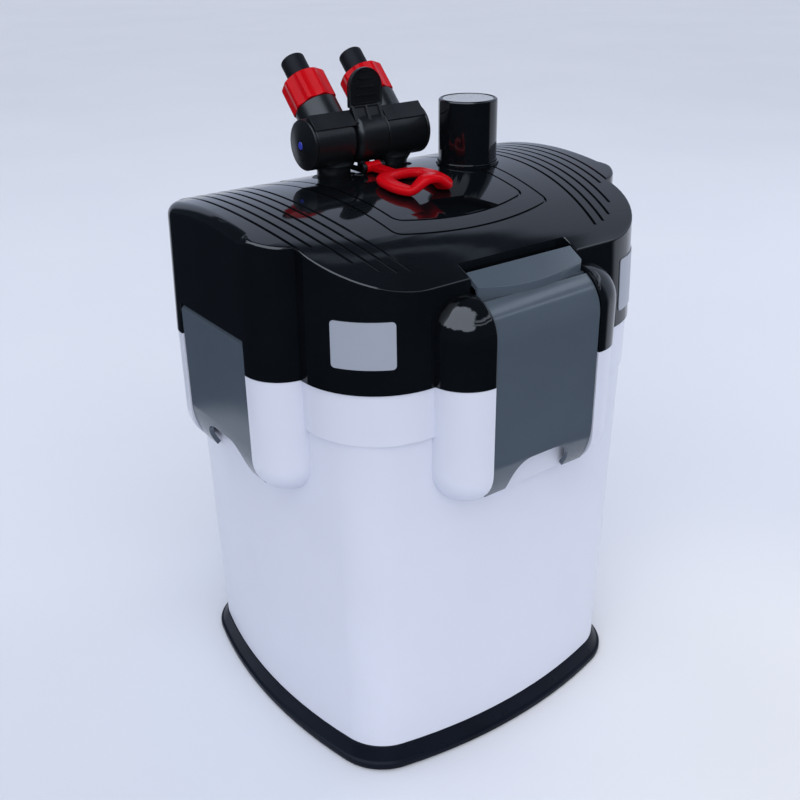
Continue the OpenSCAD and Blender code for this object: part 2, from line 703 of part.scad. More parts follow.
module lock_ring() color(red) difference() {
  union() {
    ring_loop();
    translate([lock_x - 5.3, lock_pivot[0], lock_pivot[1]]) rotate([0, 90, 0])
      cylinder(r = 3.6, h = 10.6, $fn = 6);
    hull() {
      translate([lock_x - 4.8, lock_pivot[0] - 5, lock_pivot[1] - 2]) cube([9.6, 4, 4]);
      translate([lock_x - 4.8, -9, deck_at(-9) + 1]) cube([9.6, 4, 4.4]);
    }
  }
  translate([lock_x, lock_pivot[0], lock_pivot[1]]) rotate([0, 90, 0])
    cylinder(r = 1.57, h = 60, center = true);
}

module lock_pin() color("silver")
  translate([lock_x - 8, lock_pivot[0], lock_pivot[1]]) rotate([0, 90, 0]) cylinder(r = 1.5, h = 16);

// ---- primer ---------------------------------------------------------------------------

module at_primer(z) translate([primer_x, primer_y, z]) children();
primer_skirt_z = 322;
barrel_in = 13;

// Cap, rod and piston in one: the cap slides over the fixed barrel, the piston inside it.
module primer_plunger() color(black) {
  at_primer(0) difference() {
    union() {
      translate([0, 0, primer_skirt_z]) cylinder(r = primer_r, h = primer_top - 1 - primer_skirt_z);
      translate([0, 0, primer_top - 1]) cylinder(r1 = primer_r, r2 = primer_r - 1, h = 1);
    }
    translate([0, 0, primer_skirt_z - 1])
      cylinder(r = primer_r - 2.5, h = primer_top - 4 - primer_skirt_z + 1);
    translate([0, 0, primer_top - 0.7]) cylinder(r = 16.6, h = 2);
  }
  at_primer(330) cylinder(r = 3, h = primer_top - 4 - 330 + 0.5);
  at_primer(318) difference() {
    cylinder(r = barrel_in - 0.3, h = 12.1);
    translate([0, 0, 6]) rotate_extrude() translate([barrel_in - 1.35, 0]) circle(1.3, $fn = 24);
  }
}

module primer_disc() color([0.8, 0.82, 0.87]) at_primer(primer_top - 0.7) cylinder(r = 16.5, h = 0.6);

module primer_piston_seal() color([0.05, 0.05, 0.05]) at_primer(324) rotate_extrude()
  translate([barrel_in - 1.35, 0]) circle(1.2, $fn = 24);

module primer_barrel() color([0.7, 0.72, 0.74]) at_primer(0) difference() {
  union() {
    translate([0, 0, plate_z + plate_t]) cylinder(r = 18, h = 3);
    translate([0, 0, plate_z + plate_t]) cylinder(r = barrel_in + 1.6, h = 348 - plate_z - plate_t);
  }
  translate([0, 0, 283]) cylinder(r = barrel_in, h = 80);
  translate([0, 0, plate_z]) cylinder(r = 4, h = 80);
}

module primer_bezel() color(black) at_primer(345) difference() {
  union() {
    cylinder(r = primer_r + 1.5, h = 10.4);
    translate([0, 0, 10.4]) cylinder(r1 = primer_r + 1.5, r2 = primer_r + 0.8, h = 0.7);
  }
  translate([0, 0, -1]) cylinder(r = primer_r + 0.3, h = 40);
}

// Return spring: it stands on the barrel's rim and lifts the cap.
spring_turns = 5;
spring_r = 13.8;
spring_wire = 0.7;
spring_low = 348.8;
spring_high = 390.2;
function spring_at(t) = let (a = 360 * spring_turns * t)
  [spring_r * cos(a), spring_r * sin(a), spring_low + (spring_high - spring_low) * t];
module primer_spring() color("silver") at_primer(0) {
  n = spring_turns * 14;
  m = 6;
  pts = [for (i = [0:n]) let (t = i / n, a = 360 * spring_turns * t, c = spring_at(t)) each
    [for (j = [0:m - 1]) let (b = 360 * j / m)
      [c[0] + spring_wire * cos(b) * cos(a), c[1] + spring_wire * cos(b) * sin(a),
       c[2] + spring_wire * sin(b)]]];
  sides = [for (i = [0:n - 1]) for (j = [0:m - 1])
    let (a = i * m + j, b = i * m + (j + 1) % m, c = (i + 1) * m + (j + 1) % m, d = (i + 1) * m + j)
    each [[a, b, c], [a, c, d]]];
  ends = concat([for (j = [1:m - 2]) [0, j + 1, j]],
                [for (j = [1:m - 2]) [n * m, n * m + j, n * m + j + 1]]);
  polyhedron(pts, concat(sides, ends));
}

// ---- motor and pump -------------------------------------------------------------------

module at_pump(z) translate([pump_x, pump_y, z]) children();
can_r = 34;

module motor_can() color([0.1, 0.1, 0.11]) at_pump(plate_z + plate_t + 0.1) difference() {
  cylinder(r = can_r, h = 50);
  translate([0, 0, -1]) cylinder(r = can_r - 2, h = 49);
}

module motor_core() color([0.45, 0.45, 0.47]) at_pump(285) difference() {
  union() {
    for (s = [-1, 1]) translate([s * 21.7 - 4.3, -8, 0]) cube([8.6, 17, 22]);
    translate([-26, 8, 0]) cube([52, 10.4, 22]);
  }
  translate([0, 0, -1]) cylinder(r = 16.3, h = 30);
}

module motor_coils() color([0.7, 0.36, 0.16]) at_pump(286) for (s = [-1, 1]) difference() {
  translate([s * 22.5 - 7, -20, 0]) cube([14, 11.5, 20]);
  translate([0, 0, -1]) cylinder(r = 16.3, h = 30);
  difference() {
    translate([0, 0, -1]) cylinder(r = 60, h = 30);
    translate([0, 0, -2]) cylinder(r = can_r - 2.2, h = 40);
  }
}

shaft_r = 2;
module rotor_magnet() color([0.25, 0.25, 0.27]) at_pump(274) difference() {
  cylinder(r = 12.5, h = 30);
  translate([0, 0, -1]) cylinder(r = shaft_r + 0.05, h = 40);
}

module impeller() color([0.85, 0.85, 0.87]) at_pump(0) difference() {
  union() {
    translate([0, 0, 266]) cylinder(r = 8, h = 7.9);
    translate([0, 0, 264]) cylinder(r = 24, h = 2);
    for (i = [0:5]) rotate(60 * i) translate([4, -0.9, 254.5]) cube([19, 1.8, 9.6]);
    translate([0, 0, 254.5]) cylinder(r = 5, h = 10);
  }
  translate([0, 0, 250]) cylinder(r = shaft_r + 0.05, h = 40);
}

module rotor_shaft() color("white") at_pump(248.2) cylinder(r = shaft_r, h = 64.3);

module shaft_bushes() color([0.1, 0.1, 0.1]) at_pump(0) difference() {
  union() {
    translate([0, 0, 305.5]) cylinder(r = 13.9, h = 8);
    translate([0, 0, 248.2]) cylinder(r = 4.4, h = 5);
  }
  translate([0, 0, 240]) cylinder(r = shaft_r, h = 90);
}

// Volute bolted under the plate, with the outlet duct to the right-hand port.
module pump_volute() color([0.13, 0.13, 0.14]) difference() {
  out = [tap_x + spout_x, tap_y];
  union() {
    at_pump(244) cylinder(r = 30, h = 7.9);
    translate([out[0] - 12, pump_y + 8, 240]) cube([24, tap_y - pump_y + 6, 11.9]);
  }
  at_pump(249) cylinder(r = 26.9, h = 10);
  translate([out[0] - 9, pump_y + 10, 243]) cube([18, tap_y - pump_y, 6]);
  translate([out[0], out[1], 243]) cylinder(r = 8.9, h = 20);
  at_pump(248.1) cylinder(r = 4.5, h = 10);
  for (i = [0:7]) at_pump(240) rotate(45 * i) translate([14, 0, 0]) cylinder(r = 3.4, h = 20);
}

// ---- lamp, intake, baskets ------------------------------------------------------------

module at_lamp(z) translate([lamp_x, lamp_y, z]) children();
sleeve_foot = 96;
module lamp_sleeve() color([0.8, 0.9, 0.95, 0.5]) at_lamp(0) difference() {
  translate([0, 0, sleeve_foot]) cylinder(r = 14, h = 281 - sleeve_foot);
  translate([0, 0, sleeve_foot + 2]) cylinder(r = 12.4, h = 200);
}
module lamp_tube() color("white") at_lamp(0) {
  for (s = [-1, 1]) translate([s * 6, 0, 104]) cylinder(r = 5.2, h = 160);
  translate([-6, -2, 106]) cube([12, 4, 6]);
}
module lamp_socket() color([0.9, 0.9, 0.88]) at_lamp(0) difference() {
  union() {
    translate([0, 0, 264]) cylinder(r = 12, h = 24);
    translate([0, 0, 281.7]) cylinder(r = 19, h = 6);
  }
  translate([0, 0, 300]) cylinder(r = 2, h = 10);
}

intake_r = 13;
module intake_tube() color([0.13, 0.13, 0.14]) translate([tap_x - spout_x, tap_y, 0]) difference() {
  translate([0, 0, 20]) cylinder(r = intake_r, h = spigot_z - 0.1 - 20);
  translate([0, 0, 19]) cylinder(r = 11, h = 300);
  for (a = [0:60:300]) rotate(a) translate([0, 0, 18]) translate([5, -2, 0]) cube([20, 4, 12]);
}

basket_step = basket_h;
function basket_z(i) = 22 + i * basket_step;
passages = [[tap_x - spout_x, tap_y, intake_r + 1], [lamp_x, lamp_y, 15.5]];
module basket_plan(half) intersection() {
  round_square(half + 3, head_centre - 4);
  square(2 * half, center = true);
}
module basket(i) translate([0, 0, basket_z(i)]) difference() {
  union() {
    difference() {
      linear_extrude(basket_h) basket_plan(basket_half);
      translate([0, 0, 3]) linear_extrude(basket_h) basket_plan(basket_half - 2);
    }
    for (p = passages) translate([p[0], p[1], 0]) cylinder(r = p[2] + 2, h = basket_h);
  }
  for (p = passages) translate([p[0], p[1], -1]) cylinder(r = p[2], h = basket_h + 2);
  for (x = [-84:14:84]) difference() {
    translate([x - 3, -88, -1]) cube([6, 176, 5]);
    for (p = passages) translate([p[0], p[1], -2]) cylinder(r = p[2] + 2, h = 8);
  }
}
module basket_low() color([0.2, 0.2, 0.22]) basket(0);
module basket_middle() color([0.2, 0.2, 0.22]) basket(1);
module basket_top() color([0.2, 0.2, 0.22]) basket(2);

module media_block(i, h) translate([0, 0, basket_z(i) + 3.1]) difference() {
  linear_extrude(h) basket_plan(basket_half - 3);
  for (p = passages) translate([p[0], p[1], -1]) cylinder(r = p[2] + 2.6, h = h + 2);
}
module media_sponge() color([0.15, 0.25, 0.5]) media_block(0, 50);
module media_rings() color([0.9, 0.88, 0.82]) difference() {
  media_block(1, 44);
  for (x = [-88:16:88], y = [-88:16:88]) translate([x, y, basket_z(1)])
    cylinder(r = 3, h = 60, $fn = 16);
}
module media_floss() color([0.95, 0.95, 0.93]) media_block(2, 40);

// ---- small pieces ---------------------------------------------------------------------

gland_x = 78;
gland_z = 300;
gland_r = 10;
module cord_gland() color([0.07, 0.07, 0.07]) translate([gland_x, 104, gland_z]) rotate([-90, 0, 0])
  difference() {
    union() {
      cylinder(r = gland_r + 2, h = 2);
      cylinder(r = gland_r, h = 15.6);
      translate([0, 0, 15.6]) cylinder(r1 = gland_r - 1.6, r2 = gland_r - 4, h = 9);
    }
    translate([0, 0, -5]) cylinder(r = 3.7, h = 60);
  }

// Thin plate bent round a corner of the head between two angles.
module corner_plate(quadrant, a0, a1, z0, z1) {
  r = head_corner_r;
  on_side(quadrant) translate([head_centre, head_centre, z0]) intersection() {
    difference() {
      cylinder(r = r + 0.6, h = z1 - z0);
      translate([0, 0, -1]) cylinder(r = r, h = z1 - z0 + 2);
    }
    linear_extrude(z1 - z0) polygon([[0, 0], 90 * [cos(a0), sin(a0)], 90 * [cos(a1), sin(a1)]]);
  }
}
module label_plate_left() color([0.72, 0.74, 0.82]) corner_plate(180, 26, 66, 284.7, 311.4);
module label_plate_right() color([0.8, 0.78, 0.8]) corner_plate(-90, 14, 62, 279, 312);

canister();
channel_cheeks();
foot_band();
foot_pads();
head_cover();
head_plate();
head_seal();
plate_screws();
clip_front();
clip_back();
clip_left();
clip_right();
clip_pins();
port_sockets();
tap_body();
tap_stub_seals();
tap_cap_left();
tap_cap_right();
flow_mark_left();
flow_mark_right();
valve_lever();
valve_ball_left();
valve_ball_right();
union_nut_left();
union_nut_right();
hose_tail_left();
hose_tail_right();
lock_ring();
lock_pin();
primer_plunger();
primer_disc();
primer_piston_seal();
primer_barrel();
primer_bezel();
primer_spring();
motor_can();
motor_core();
motor_coils();
rotor_magnet();
impeller();
rotor_shaft();
shaft_bushes();
pump_volute();
lamp_sleeve();
lamp_tube();
lamp_socket();
intake_tube();
basket_low();
basket_middle();
basket_top();
media_sponge();
media_rings();
media_floss();
cord_gland();
label_plate_left();
label_plate_right();
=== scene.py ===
# %% [markdown]
# # Canister filter: the looks
# The construction model is loaded first as a fixed frame. Every solid of it has its place, and every
# moving body its joint. This file gives each visible piece the form and finish of the real one.
# Lengths in the cells are millimetres, because the drawing is in millimetres, and each piece is
# brought to metres in its last step.

# %% Load the frame
import bmesh
import bpy
import json
from math import acos, asin, atan, atan2, cos, degrees, hypot, pi, radians, sin, sqrt
from mathutils import Matrix, Vector


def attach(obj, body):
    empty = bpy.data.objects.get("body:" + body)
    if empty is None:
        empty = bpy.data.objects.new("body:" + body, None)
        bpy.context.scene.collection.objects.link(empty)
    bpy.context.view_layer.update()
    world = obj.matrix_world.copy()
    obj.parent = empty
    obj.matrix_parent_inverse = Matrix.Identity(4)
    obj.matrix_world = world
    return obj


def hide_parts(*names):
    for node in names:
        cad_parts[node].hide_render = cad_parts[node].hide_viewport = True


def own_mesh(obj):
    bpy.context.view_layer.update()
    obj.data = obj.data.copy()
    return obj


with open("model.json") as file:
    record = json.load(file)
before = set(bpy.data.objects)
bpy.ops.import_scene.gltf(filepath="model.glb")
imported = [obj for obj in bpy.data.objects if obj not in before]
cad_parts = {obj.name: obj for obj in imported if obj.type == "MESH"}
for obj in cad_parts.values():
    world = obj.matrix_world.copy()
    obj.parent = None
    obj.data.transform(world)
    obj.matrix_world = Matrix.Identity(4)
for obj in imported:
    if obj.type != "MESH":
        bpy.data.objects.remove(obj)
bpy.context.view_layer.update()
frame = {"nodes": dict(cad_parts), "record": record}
BMVert, BMEdge, BMFace = bmesh.types.BMVert, bmesh.types.BMEdge, bmesh.types.BMFace


def new_object(name, data):
    """Puts a mesh, a lamp or a camera into the scene as an object."""
    made = bpy.data.objects.new(name, data)
    bpy.context.scene.collection.objects.link(made)
    return made


# %% [markdown]
# ## The camera
# A camera is a place, a direction and a focal length. This one looks down at the filter from its
# front left. It is set from its turn round the upright axis, its downward pitch and a very small roll.
# A rotation matrix whose columns are right, up and backward says the same in one step, and no
# constraint has to be kept in the file.

# %% Camera
turn, pitch, roll = -0.6295, 0.4504, -0.0150
look = Vector((-sin(turn) * cos(pitch), cos(turn) * cos(pitch), -sin(pitch)))
right = Vector((cos(turn), sin(turn), 0))
up = right.cross(look)
right, up = right * cos(roll) + up * sin(roll), up * cos(roll) - right * sin(roll)

camera = new_object("camera", bpy.data.cameras.new("camera"))
camera.data.lens = 46.194
camera.data.sensor_width = 36
camera.data.clip_end = 60
camera.matrix_world = Matrix((
    (right.x, up.x, -look.x, -0.379359),
    (right.y, up.y, -look.y, -0.516823),
    (right.z, up.z, -look.z, 0.507194),
    (0, 0, 0, 1)))
bpy.context.scene.camera = camera
print("camera looks along", [round(v, 3) for v in look])

# %% [markdown]
# ## Shader nodes in short
# A material or a world is a tree of nodes. Each node has inputs, which take a plain value or the
# output of another node. This small class adds the kinds of node used here in one line each, and it
# decides by itself whether an input is set or linked.

# %% Shader helper
class Shader:
    """Adds nodes to one node tree."""

    def __init__(self, tree):
        self.tree = tree

    def put(self, socket, value):
        """Gives a socket a number, a colour, a vector or the output of another node."""
        if isinstance(value, bpy.types.NodeSocket):
            self.tree.links.new(value, socket)
        elif socket.type == "RGBA":
            socket.default_value = (*value, 1)
        else:
            socket.default_value = value

    def node(self, kind, inputs=(), **settings):
        """Adds a node with its settings; its inputs are given in order, or by number or name."""
        made = self.tree.nodes.new("ShaderNode" + kind)
        for key, value in settings.items():
            setattr(made, key, value)
        for key, value in inputs.items() if isinstance(inputs, dict) else enumerate(inputs):
            self.put(made.inputs[key], value)
        return made

    def surface(self, values):
        """Sets or links inputs of the material's surface node."""
        for key, value in values.items():
            self.put(self.tree.nodes["Principled BSDF"].inputs[key], value)

    def maths(self, how, *values):
        return self.node("Math", values, operation=how).outputs[0]

    def times(self, first, second):
        return self.maths("MULTIPLY", first, second)

    def plus(self, base, value, share):
        """The base plus a share of a value."""
        return self.maths("MULTIPLY_ADD", value, share, base)

    def vector(self, how, *values):
        return self.node("VectorMath", values, operation=how).outputs["Value"]

    def mapped(self, value, low, high, to_low=0.0, to_high=1.0, shape="LINEAR"):
        """Carries the range low to high over to another range."""
        inputs = {"Value": value, "From Min": low, "From Max": high, "To Min": to_low, "To Max": to_high}
        return self.node("MapRange", inputs, interpolation_type=shape).outputs["Result"]

    def step(self, value, start, end):
        """Goes smoothly from 0 at start to 1 at end, upward or downward."""
        ends = (0.0, 1.0) if start < end else (1.0, 0.0)
        return self.mapped(value, min(start, end), max(start, end), *ends, shape="SMOOTHSTEP")

    def mix(self, share, first, second):
        """A colour between two colours."""
        return self.node("Mix", {0: share, 6: first, 7: second}, data_type="RGBA").outputs[2]

    def noise(self, at, scale, detail, rough=0.5):
        inputs = {"Vector": at, "Scale": scale, "Detail": detail, "Roughness": rough}
        return self.node("TexNoise", inputs).outputs["Fac"]

    def colours(self, value, first, second, low=0.0, high=1.0):
        """A ramp between two colours."""
        ramp = self.node("ValToRGB", (value,))
        for element, position, colour in zip(ramp.color_ramp.elements, (low, high), (first, second)):
            element.position = position
            element.color = (*colour, 1)
        return ramp.outputs["Color"]


def material(name):
    """A new material, and the helper that fills its tree."""
    made = bpy.data.materials.new(name)
    made.use_nodes = True
    return made, Shader(made.node_tree)


print("shader helper ready")

# %% [markdown]
# ## Surroundings
# A filter is shown on a plain pale floor in soft light. Glossy black plastic has almost no colour of
# its own and shows what stands round it, so the world has two parts. An even one lights the piece.
# The other is seen by reflections alone: a pale backdrop behind the piece that ends a little above the
# eye line, a dim room elsewhere, one large soft window at the upper left and two narrow strips at the
# front right. The Light Path node chooses between them, which keeps the light on the piece plain, and
# the camera itself sees nothing but the backdrop's colour.

# %% World
BEHIND, ASIDE, UPWARD = (0.82, 0.57, 0.0), (-0.57, 0.82, 0.0), (0, 0, 1)
WINDOW, FRONT_RIGHT = (-0.641, -0.233, 0.731), (0.643, -0.766, 0)
ROOM, BACKDROP, PANE, STRIP = (0.045, 0.060, 0.085), (0.48, 0.545, 0.70), (2.7, 3.0, 3.5), (1.5, 1.7, 2.0)

world = bpy.data.worlds.new("room")
bpy.context.scene.world = world
world.use_nodes = True
w = Shader(world.node_tree)
w.tree.nodes.clear()
aim = w.node("TexCoord").outputs["Generated"]
rise = w.vector("DOT_PRODUCT", aim, UPWARD)
drift = w.maths("SUBTRACT", w.noise(aim, 3.2, 3.0), 0.5)

height = w.plus(w.plus(rise, w.vector("DOT_PRODUCT", aim, ASIDE), 0.20), drift, 0.16)
edge_line = w.times(w.step(height, 0.705, 0.712), w.step(height, 0.728, 0.720))
below = w.plus(w.step(height, 0.685, 0.655), edge_line, 0.45)
backdrop = w.times(below, w.step(w.vector("DOT_PRODUCT", aim, BEHIND), 0.30, 0.46))

near_window = w.plus(w.vector("DOT_PRODUCT", aim, WINDOW), drift, 0.45)
pane = w.times(w.step(near_window, 0.66, 0.74), w.step(w.plus(rise, drift, 0.5), 0.36, 0.42))

frontward = w.vector("DOT_PRODUCT", aim, FRONT_RIGHT)
level = w.plus(w.plus(rise, frontward, 0.10), drift, 0.12)
lower_strip = w.times(w.step(level, 0.60, 0.62), w.step(level, 0.67, 0.65))
upper_strip = w.times(w.step(level, 0.71, 0.73), w.step(level, 0.80, 0.77))
bars = w.times(w.maths("ADD", lower_strip, upper_strip), w.step(frontward, 0.30, 0.50))

ray = w.node("LightPath").outputs
room = w.mix(bars, w.mix(pane, w.mix(backdrop, ROOM, BACKDROP), PANE), STRIP)
room = w.mix(ray["Is Camera Ray"], room, BACKDROP)
seen = w.maths("MAXIMUM", w.maths("MAXIMUM", ray["Is Camera Ray"], ray["Is Glossy Ray"]), ray["Is Transmission Ray"])
even = w.node("Background", {"Color": (0.92, 0.95, 1.0), "Strength": 0.62}).outputs[0]
shown = w.node("Background", {"Color": room, "Strength": 1.0}).outputs[0]
w.node("OutputWorld", (w.node("MixShader", (seen, even, shown)).outputs[0],))
print("world nodes:", len(w.tree.nodes))

# %% [markdown]
# ## Lamps
# A very wide sun gives the soft main light. Two large area lamps lift the right side and the top. None
# of them shows in a reflection, because the world already holds what the plastic mirrors.

# %% Lamps
def lamp(name, kind, place, target, **settings):
    """A lamp at a place, turned to face a target."""
    made = new_object(name, bpy.data.lights.new(name, kind))
    for key, value in settings.items():
        setattr(made.data, key, value)
    made.location = place
    made.rotation_euler = (Vector(target) - Vector(place)).to_track_quat("-Z", "Y").to_euler()
    made.visible_glossy = False


lamp("day", "SUN", (-1.6, -2.6, 2.4), (0, 0, 0.2), energy=1.55, angle=radians(75), color=(1.0, 0.985, 0.96))
lamp("window", "AREA", (1.7, -0.3, 1.1), (0, 0, 0.25), energy=5, shape="RECTANGLE", size=0.5, size_y=1.1,
     color=(0.93, 0.96, 1.0))
lamp("overhead", "AREA", (-0.5, 0.9, 1.9), (0, 0, 0.3), energy=7, shape="RECTANGLE", size=1.3, size_y=0.5,
     color=(0.95, 0.97, 1.0))

# %% [markdown]
# ## Floor
# The floor is a wide disc of pale, faintly mottled paint, with a painted pool of light in front of the
# piece. In a reflection alone it is painted dark further out, and this painted dark reflection gives the black walls
# their depth.

# %% Floor
def to_object(bm, name):
    """Puts a bmesh into a new object."""
    data = bpy.data.meshes.new(name)
    bm.to_mesh(data)
    bm.free()
    return new_object(name, data)


disc = bmesh.new()
bmesh.ops.create_circle(disc, cap_ends=True, radius=14, segments=64)
floor = to_object(disc, "floor")
floor_finish, f = material("pale floor")
floor.data.materials.append(floor_finish)
spot = f.node("TexCoord").outputs["Object"]
paint = f.colours(f.noise(spot, 2.5, 3.0), (0.64, 0.68, 0.79), (0.70, 0.735, 0.83))
# Painted light: the floor colour is made paler in a pool in front of the piece, standing in for light falling there.
painted_light_pool = f.step(f.vector("DISTANCE", spot, (0.14, -0.24, 0)), 0.34, 0.08)
paint = f.mix(painted_light_pool, paint, (0.82, 0.84, 0.91))
away = f.vector("LENGTH", spot)
# Painted dark reflection: for glossy rays alone the floor colour turns nearly black further out, except behind the
# piece, so the black walls mirror shade.
beyond = f.plus(f.plus(away, f.noise(spot, 7.0, 2.0), 0.16), f.vector("DOT_PRODUCT", spot, ASIDE), -0.18)
rearward = f.maths("DIVIDE", f.vector("DOT_PRODUCT", spot, BEHIND), away)
dark = f.times(f.step(beyond, 0.50, 0.54), f.step(rearward, 0.46, 0.30))
dark = f.times(dark, f.node("LightPath").outputs["Is Glossy Ray"])
f.surface({"Base Color": f.mix(dark, paint, (0.010, 0.015, 0.023)), "Roughness": 0.9, "Specular IOR Level": 0.1})
bpy.context.scene.view_settings.view_transform = "Standard"
print("floor across:", round(floor.dimensions.x), "m")

# %% [markdown]
# ## Moulded plastic
# Nearly everything outside is injection-moulded plastic. Such a surface isn't one flat colour: the
# pigment flows unevenly, the gloss changes with the mould's polish, long slow waves remain where the
# wall shrank, and fine grain or dust catches the light. One helper builds that from noise on Object
# coordinates, so that it stays fixed on the piece, and each finish sets how much of each it has.
# The hidden parts use the same helper: foam and floss are deep grain, and steel is brushed.

# %% Plastic helper
def plastic(name, colour, rough, vary=0.08, rough_vary=0.06, wave=0.0, wave_size=40, grain=0.0, grain_size=1.0,
            dust=0.0, coat=0.0, specular=0.5, sheen=0.0, metallic=0.0, brushed=0.0, clear=0.0):
    """A finish: wave and grain are heights in mm, their sizes lengths in mm, dust a share of pale specks."""
    made, s = material(name)
    spot = s.node("TexCoord").outputs["Object"]
    if brushed:
        spot = s.node("Mapping", {"Vector": spot, "Scale": (1, 1, brushed)}).outputs[0]
    pale, deep = ([min(1, c * (1 + way * vary)) for c in colour] for way in (1, -1))
    tint = s.colours(s.noise(spot, 18.0, 4.0, 0.6), deep, pale, 0.3, 0.7)
    if dust:
        tint = s.mix(s.mapped(s.noise(spot, 700.0, 2.0), 0.68, 0.80, 0.0, dust), tint, (0.35, 0.36, 0.38))
    gloss = s.mapped(s.noise(spot, 95.0, 5.0, 0.65), 0.3, 0.7, max(0.02, rough - rough_vary), rough + rough_vary)
    s.surface({"Base Color": tint, "Roughness": gloss, "Specular IOR Level": specular, "Coat Weight": coat,
               "Coat Roughness": 0.06, "Sheen Weight": sheen, "Metallic": metallic, "Transmission Weight": clear})
    bump = {}
    for height, size in ((wave, wave_size), (grain, grain_size)):
        if height:
            form = s.noise(spot, 1000.0 / size, 1.5 if size > 5 else 3.0)
            press = s.node("Bump", {"Strength": 1.0, "Distance": height * 0.001, "Height": form, **bump})
            bump = {"Normal": press.outputs["Normal"]}
    s.surface(bump)
    return made


def metal(name, colour, rough, brushed=0.0):
    """Metal with a fine brushed or stacked grain."""
    return plastic(name, colour, rough, 0.12, 0.08, grain=0.01, grain_size=0.4, metallic=1.0, brushed=brushed)


print("finish helpers ready")

# %% [markdown]
# ## Finishes
# A finish is filed under the slot that the construction's record names for it, so a piece gets its
# material and its slot from one word.

# %% Finishes
STEEL = (0.62, 0.62, 0.64)
finishes = {
    "white_body": plastic("white bucket plastic", (0.612, 0.642, 0.755), 0.30, vary=0.012, rough_vary=0.012,
                          wave=0.12, wave_size=150, coat=0.1),
    "gloss_black": plastic("polished black plastic", (0.0026, 0.0035, 0.0048), 0.06, vary=0.25, rough_vary=0.02,
                           wave=0.05, wave_size=60, dust=0.02),
    "clip_grey": plastic("satin blue-grey plastic", (0.064, 0.083, 0.110), 0.13, vary=0.06, rough_vary=0.03,
                         wave=0.04, wave_size=55, grain=0.002, grain_size=0.7, dust=0.05),
    "tap_black": plastic("satin tap plastic", (0.0045, 0.0055, 0.0070), 0.32, vary=0.25, wave=0.03, wave_size=16,
                         grain=0.003, grain_size=0.6, dust=0.03, specular=0.4),
    "tail_black": plastic("matt tail plastic", (0.0055, 0.0062, 0.0090), 0.50, vary=0.25, rough_vary=0.05,
                          wave=0.03, wave_size=16, grain=0.004, grain_size=0.6, dust=0.03, specular=0.10),
    "red_plastic": plastic("glossy red plastic", (0.47, 0.0015, 0.006), 0.22, vary=0.10, wave=0.03, wave_size=12,
                           grain=0.002, grain_size=0.6, specular=0.10),
    "foot_rubber": plastic("dark foot plastic", (0.0045, 0.0065, 0.0125), 0.32, vary=0.2, wave=0.08, wave_size=50,
                           grain=0.004, grain_size=0.7, dust=0.02, specular=0.08),
    "pale_disc": plastic("pale cap insert", (0.37, 0.395, 0.445), 0.28, vary=0.05, wave=0.05, wave_size=10,
                         grain=0.003, grain_size=0.5),
    "label_pale": plastic("blank label film", (0.295, 0.325, 0.395), 0.34, vary=0.03, rough_vary=0.02, wave=0.03,
                          wave_size=30),
    "soft_rubber": plastic("matt black rubber", (0.02, 0.02, 0.021), 0.65, vary=0.2, grain=0.02, grain_size=0.8,
                           dust=0.3),
    "mark_blue": plastic("blue mark", (0.03, 0.045, 0.42), 0.3, vary=0.1, grain=0.003),
    "mark_red": plastic("red mark", (0.5, 0.01, 0.02), 0.3, vary=0.1, grain=0.003),
    "inner_black": plastic("plain black moulding", (0.03, 0.03, 0.033), 0.45, grain=0.01, grain_size=0.6, dust=0.2),
    "inner_grey": plastic("plain grey moulding", (0.42, 0.44, 0.46), 0.4, grain=0.006, grain_size=0.8),
    "seal_rubber": plastic("greased seal rubber", (0.04, 0.012, 0.012), 0.3, vary=0.2, grain=0.004),
    "screw_steel": metal("bright steel", STEEL, 0.25, 12.0),
    "spring_steel": metal("spring steel", STEEL, 0.25),
    "ball_white": plastic("smooth white moulding", (0.72, 0.72, 0.70), 0.25, vary=0.02, grain=0.002),
    "core_iron": metal("stacked sheet iron", (0.26, 0.26, 0.27), 0.5, 20.0),
    "coil_copper": metal("wound copper wire", (0.72, 0.36, 0.20), 0.3, 9.0),
    "magnet_dark": plastic("sintered magnet", (0.07, 0.07, 0.075), 0.5, grain=0.03, grain_size=0.5),
    "basket_grey": plastic("basket plastic", (0.07, 0.07, 0.08), 0.5, grain=0.01, grain_size=0.9),
    "sponge_blue": plastic("open blue foam", (0.05, 0.12, 0.34), 0.9, vary=0.4, grain=1.2, grain_size=2.2,
                           specular=0.1),
    "ring_ceramic": plastic("unglazed ceramic", (0.66, 0.62, 0.53), 0.85, vary=0.12, grain=0.15, grain_size=0.7,
                            specular=0.2),
    "floss_white": plastic("white fibre floss", (0.78, 0.79, 0.78), 0.95, grain=0.9, grain_size=1.4,
                           specular=0.1, sheen=0.3),
    "lamp_glass": plastic("clear quartz", (0.85, 0.92, 0.95), 0.05, vary=0.03, rough_vary=0.02, wave=0.05,
                          wave_size=25, clear=0.9),
}
print("finishes made:", len(finishes))

# %% [markdown]
# ## Drawing an outline
# A moulded piece starts as an outline. `walk` begins with one vertex and spins it round a centre for
# each arc, or extrudes it along a line, as a pencil and compasses would. The outline is then filled,
# raised, scaled or spun into a body.

# %% Outline helpers
FLAT = Matrix.Identity(4)
LATHE = Matrix.Rotation(pi / 2, 4, "X")
ACROSS = Matrix.Rotation(pi / 2, 4, "Y")
SIDE = Matrix(((0, 0, -1, 0), (-1, 0, 0, 0), (0, 1, 0, 0), (0, 0, 0, 1)))


def only(geom, kind):
    """The vertices, the edges or the faces among what an operator gives back."""
    return [g for g in geom if isinstance(g, kind)]


def placed(bm, place):
    """Moves and turns a whole body."""
    bmesh.ops.transform(bm, matrix=place, verts=bm.verts[:])
    return bm


